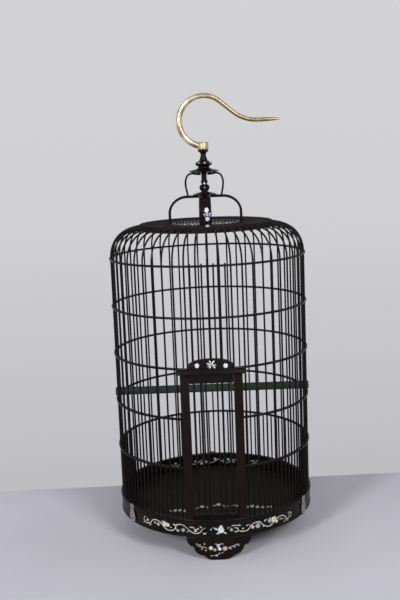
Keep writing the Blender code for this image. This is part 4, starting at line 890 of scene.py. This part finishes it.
def pearlDot(azimuth, z, radius):
    # A low dome: it rises with the root of 1 - u^2 from the bulb's face, u being the place from its middle
    u, around8 = np.linspace(1, 0.02, 6), np.linspace(0, 2 * pi, 14, endpoint=False)
    r = np.interp(z, finialRows[:, 1][:26], finialRows[:, 0][:26])
    rise = 0.55 * radius * np.sqrt(1 - u ** 2)[:, None] - 0.25 * mm
    loops = polar(r + rise + 0 * around8[None, :],
                  azimuth + radius * u[:, None] * np.cos(around8)[None, :] / r,
                  z + radius * u[:, None] * np.sin(around8)[None, :])
    return loops


dots = {"count": 8, "z": 690.4 * mm, "radius": 1.6 * mm, "first": radians(8)}
piece("finial_pearl_dots",
      [pearlDot(dots["first"] + k * 2 * pi / dots["count"], dots["z"], dots["radius"]) for k in range(dots["count"])],
      "cage", pearls["white"])
print("crown made")


# Hook

hook = {
    "collarZ": 714.95 * mm, "collarR": 10.0 * mm, "collarH": 13.0 * mm, "bendX": 3.3 * mm, "bendZ": 765.75 * mm,
    "bendR": 45.3 * mm, "root": radians(260), "shoulder": radians(50), "slope": 30.7 * mm, "sweepR": 69.7 * mm,
    "tip": 40.5 * mm, "tipRise": radians(0.5), "rootRod": 5.6 * mm, "slopeRod": 4.3 * mm, "sweepRod": 3.9 * mm,
    "tipRod": 0.7 * mm, "pinR": 5.2 * mm, "pinLow": 724.1 * mm, "pinHigh": 727.35 * mm,
}


def hookShape():
    # Arc of the round bend, straight slope, wide arc back to level, straight tip that tapers as an ellipse
    turn = np.linspace(hook["root"], hook["shoulder"], 60)
    bend = np.stack([hook["bendX"] + hook["bendR"] * np.cos(turn), hook["bendZ"] + hook["bendR"] * np.sin(turn)], -1)
    thin = np.clip((pi - turn) / (pi - hook["shoulder"]), 0, 1)
    heading = hook["shoulder"] - pi / 2
    foot = bend[-1] + hook["slope"] * np.array([cos(heading), sin(heading)])
    slope = bend[-1] + np.linspace(0.12, 0.88, 5)[:, None] * (foot - bend[-1])
    centre = foot + hook["sweepR"] * np.array([-sin(heading), cos(heading)])
    ways = np.linspace(heading, hook["tipRise"], 20)
    sweep = centre + hook["sweepR"] * np.stack([np.sin(ways), -np.cos(ways)], -1)
    share = np.linspace(0, 1, 18)[1:]
    tip = sweep[-1] + share[:, None] * hook["tip"] * np.array([cos(hook["tipRise"]), sin(hook["tipRise"])])
    radii = np.r_[
        hook["rootRod"] + (hook["slopeRod"] - hook["rootRod"]) * thin,
        np.linspace(hook["slopeRod"], hook["sweepRod"], 7)[1:-1], np.full(20, hook["sweepRod"]),
        hook["tipRod"] + (hook["sweepRod"] - hook["tipRod"]) * np.sqrt(1 - share ** 2),
    ]
    flat = np.vstack([bend, slope, sweep, tip])
    path = np.stack([flat[:, 0], np.zeros(len(flat)), flat[:, 1]], -1)
    return rodShape(path, radii, 20, (0, 1, 0))


collarTop = hook["collarZ"] + hook["collarH"]
collarRows = np.array([
    (hook["collarR"] - 0.6 * mm, hook["collarZ"]), (hook["collarR"], hook["collarZ"] + 0.6 * mm),
    (hook["collarR"], collarTop - 1.6 * mm), (hook["collarR"] - 0.5 * mm, collarTop - 1.2 * mm),
    (hook["collarR"], collarTop - 0.8 * mm), (hook["collarR"] - 0.4 * mm, collarTop),
    (hook["pinR"] + 0.6 * mm, collarTop), (hook["pinR"] + 0.3 * mm, collarTop - 0.3 * mm),
    (hook["pinR"] + 0.3 * mm, collarTop - 3.6 * mm),
])
piece("brass_hook", [hookShape(), turnedShape(collarRows, 48)], "hook", brass, ["hook"])
pinRows = np.array([(hook["pinR"] - 0.2 * mm, hook["pinLow"]), (hook["pinR"], hook["pinLow"] + 0.3 * mm),
                    (hook["pinR"], hook["pinHigh"] - 0.8 * mm), (hook["pinR"] - 1.2 * mm, hook["pinHigh"] - 0.1 * mm),
                    (1.0 * mm, hook["pinHigh"])])
shankRows = np.array([(3.0 * mm, 694.95 * mm), (3.0 * mm, hook["pinLow"] + 0.2 * mm)])
piece("brass_pin", [turnedShape(pinRows, 32), turnedShape(shankRows, 24)], "cage", brass, ["hook_pin"])
print("hook made")


# Nodes kept as they are, with their own wood

for name, finish in {
    "top_lattice": lacquerLevel, "floor_batten_front": rosewoodLevel, "floor_batten_rear": rosewoodLevel,
}.items():
    slots = cadNodes[name].material_slots
    for entry in slots:
        entry.material = finish


# Stage, light and camera

stage = {
    "floor": "#D3D2DB", "floorDark": "#CBCAD3", "half": 3.0, "wallLeft": 0.197, "wallRight": 0.2225, "span": 0.33,
    # The wall's stops darken it toward the floor: painted shade
    "wall": ((0.0, "#BDBCC1"), (0.2, "#C3C3C8"), (0.6, "#D1D1D4"), (1.0, "#D3D3D6")),
    "room": "#D0D0D3", "fill": "#EDEDF0", "fillStrength": 0.27,
}


def stageSheet(name, corners, finish):
    mesh = bpy.data.meshes.new(name)
    mesh.from_pydata(corners, [], [tuple(range(len(corners)))])
    mesh.materials.append(finish)
    made = bpy.data.objects.new(name, mesh)
    bpy.context.scene.collection.objects.link(made)


def seenPlain(tree, lit, plain):
    # Camera, glossy and transmission rays meet the plain colour, and all others what the lamps light
    ray = addNode(tree, "ShaderNodeLightPath")
    gloss = addNode(tree, "ShaderNodeMath", {"operation": "MAXIMUM"},
                    {0: ray.outputs["Is Camera Ray"], 1: ray.outputs["Is Glossy Ray"]})
    seen = addNode(tree, "ShaderNodeMath", {"operation": "MAXIMUM"},
                   {0: gloss.outputs["Value"], 1: ray.outputs["Is Transmission Ray"]})
    return addNode(tree, "ShaderNodeMixShader", {}, {0: seen.outputs["Value"], 1: lit, 2: plain})


half = stage["half"]
# White cotton cloth under the cage: matt, with a faint grey-lilac cast
cloth, tree, shader = startMaterial("white_cotton_cloth", Roughness=0.9, Specular_IOR_Level=0.1)
place = addNode(tree, "ShaderNodeTexCoord")
drift = addNode(tree, "ShaderNodeTexNoise", {"Scale": 2.5, "Detail": 3.0}, {"Vector": place.outputs["Object"]})
ramp = addNode(tree, "ShaderNodeValToRGB", {"stops": ((0.35, stage["floorDark"]), (0.65, stage["floor"]))},
               {"Fac": drift.outputs["Fac"]})
tree.links.new(ramp.outputs["Color"], shader.inputs["Base Color"])
stageSheet("pale_floor", [(-half, -half, 0), (half, -half, 0), (half, half, 0), (-half, half, 0)], cloth)

# White wall paint behind the cage, with painted shade that darkens it toward the floor. It is clear from behind.
paint, tree, shader = startMaterial("matt_wall_paint_with_painted_shade", Roughness=0.9, Specular_IOR_Level=0.1)
place = addNode(tree, "ShaderNodeTexCoord")
height = addNode(tree, "ShaderNodeSeparateXYZ", {}, {"Vector": place.outputs["Object"]})
# Painted shade: the wall's colour darkens as the height falls
ramp = addNode(tree, "ShaderNodeValToRGB", {"stops": stage["wall"]}, {"Fac": height.outputs["Z"]})
tree.links.new(ramp.outputs["Color"], shader.inputs["Base Color"])
plain = addNode(tree, "ShaderNodeEmission", {"Strength": 1.0}, {"Color": ramp.outputs["Color"]})
seen = seenPlain(tree, shader.outputs["BSDF"], plain.outputs["Emission"])
facing = addNode(tree, "ShaderNodeNewGeometry")
clear = addNode(tree, "ShaderNodeBsdfTransparent")
oneSided = addNode(tree, "ShaderNodeMixShader", {},
                   {0: facing.outputs["Backfacing"], 1: seen.outputs["Shader"], 2: clear.outputs["BSDF"]})
tree.links.new(oneSided.outputs["Shader"], tree.nodes["Material Output"].inputs["Surface"])
slant = half * (stage["wallRight"] - stage["wallLeft"]) / (2 * stage["span"])
foot = (stage["wallRight"] + stage["wallLeft"]) / 2
stageSheet("pale_wall", [(-half, foot - slant, 0), (half, foot + slant, 0), (half, foot + slant, half),
                         (-half, foot - slant, half)], paint)

world = bpy.data.worlds.new("soft_room_light")
bpy.context.scene.world = world
world.use_nodes = True
tree = world.node_tree
fill = tree.nodes["Background"]
fill.inputs["Color"].default_value = linear(stage["fill"])
fill.inputs["Strength"].default_value = stage["fillStrength"]
plain = addNode(tree, "ShaderNodeBackground", {"Color": linear(stage["room"]), "Strength": 1.0})
seen = seenPlain(tree, fill.outputs["Background"], plain.outputs["Background"])
tree.links.new(seen.outputs["Shader"], tree.nodes["World Output"].inputs["Surface"])

lamps = (
    ("room_light", (-2.4, -3.7, 2.2), (0, 0, 0.42), 0.9, 1.2, 114, "#FFFFFF"),
    ("near_light", (1.0, -1.9, 1.5), (0, 0, 0.4), 0.7, 0.7, 28, "#FFFFFF"),
)
for name, where, aim, wide, high, watts, colour in lamps:
    light = bpy.data.lights.new(name, "AREA")
    light.shape, light.size, light.size_y = "RECTANGLE", wide, high
    light.energy, light.color = watts, linear(colour)[:3]
    lamp = bpy.data.objects.new(name, light)
    bpy.context.scene.collection.objects.link(lamp)
    lamp.location = where
    lamp.rotation_euler = (Vector(aim) - Vector(where)).to_track_quat("-Z", "Y").to_euler()

view = {"place": (7.76 * mm, -1717.7 * mm, 718.3 * mm), "pitch": radians(9.341), "yaw": radians(-0.805),
        "roll": radians(-2.249), "lens": 55.577, "sensor": 36.0}
pitch, yaw, roll = view["pitch"], view["yaw"], view["roll"]
forward = np.array([sin(yaw) * cos(pitch), cos(yaw) * cos(pitch), -sin(pitch)])
level = np.array([cos(yaw), -sin(yaw), 0])
upward = np.cross(level, forward)
rightWay = cos(roll) * level + sin(roll) * upward
upWay = -sin(roll) * level + cos(roll) * upward
cameraData = bpy.data.cameras.new("photo_camera")
cameraData.sensor_fit, cameraData.sensor_height, cameraData.lens = "VERTICAL", view["sensor"], view["lens"]
camera = bpy.data.objects.new("photo_camera", cameraData)
bpy.context.scene.collection.objects.link(camera)
turned = Matrix([[float(v) for v in row] for row in np.stack([rightWay, upWay, -forward], 1)]).to_4x4()
camera.matrix_world = Matrix.Translation(view["place"]) @ turned
bpy.context.scene.camera = camera
bpy.context.scene.view_settings.view_transform = "Standard"
print("stage made")
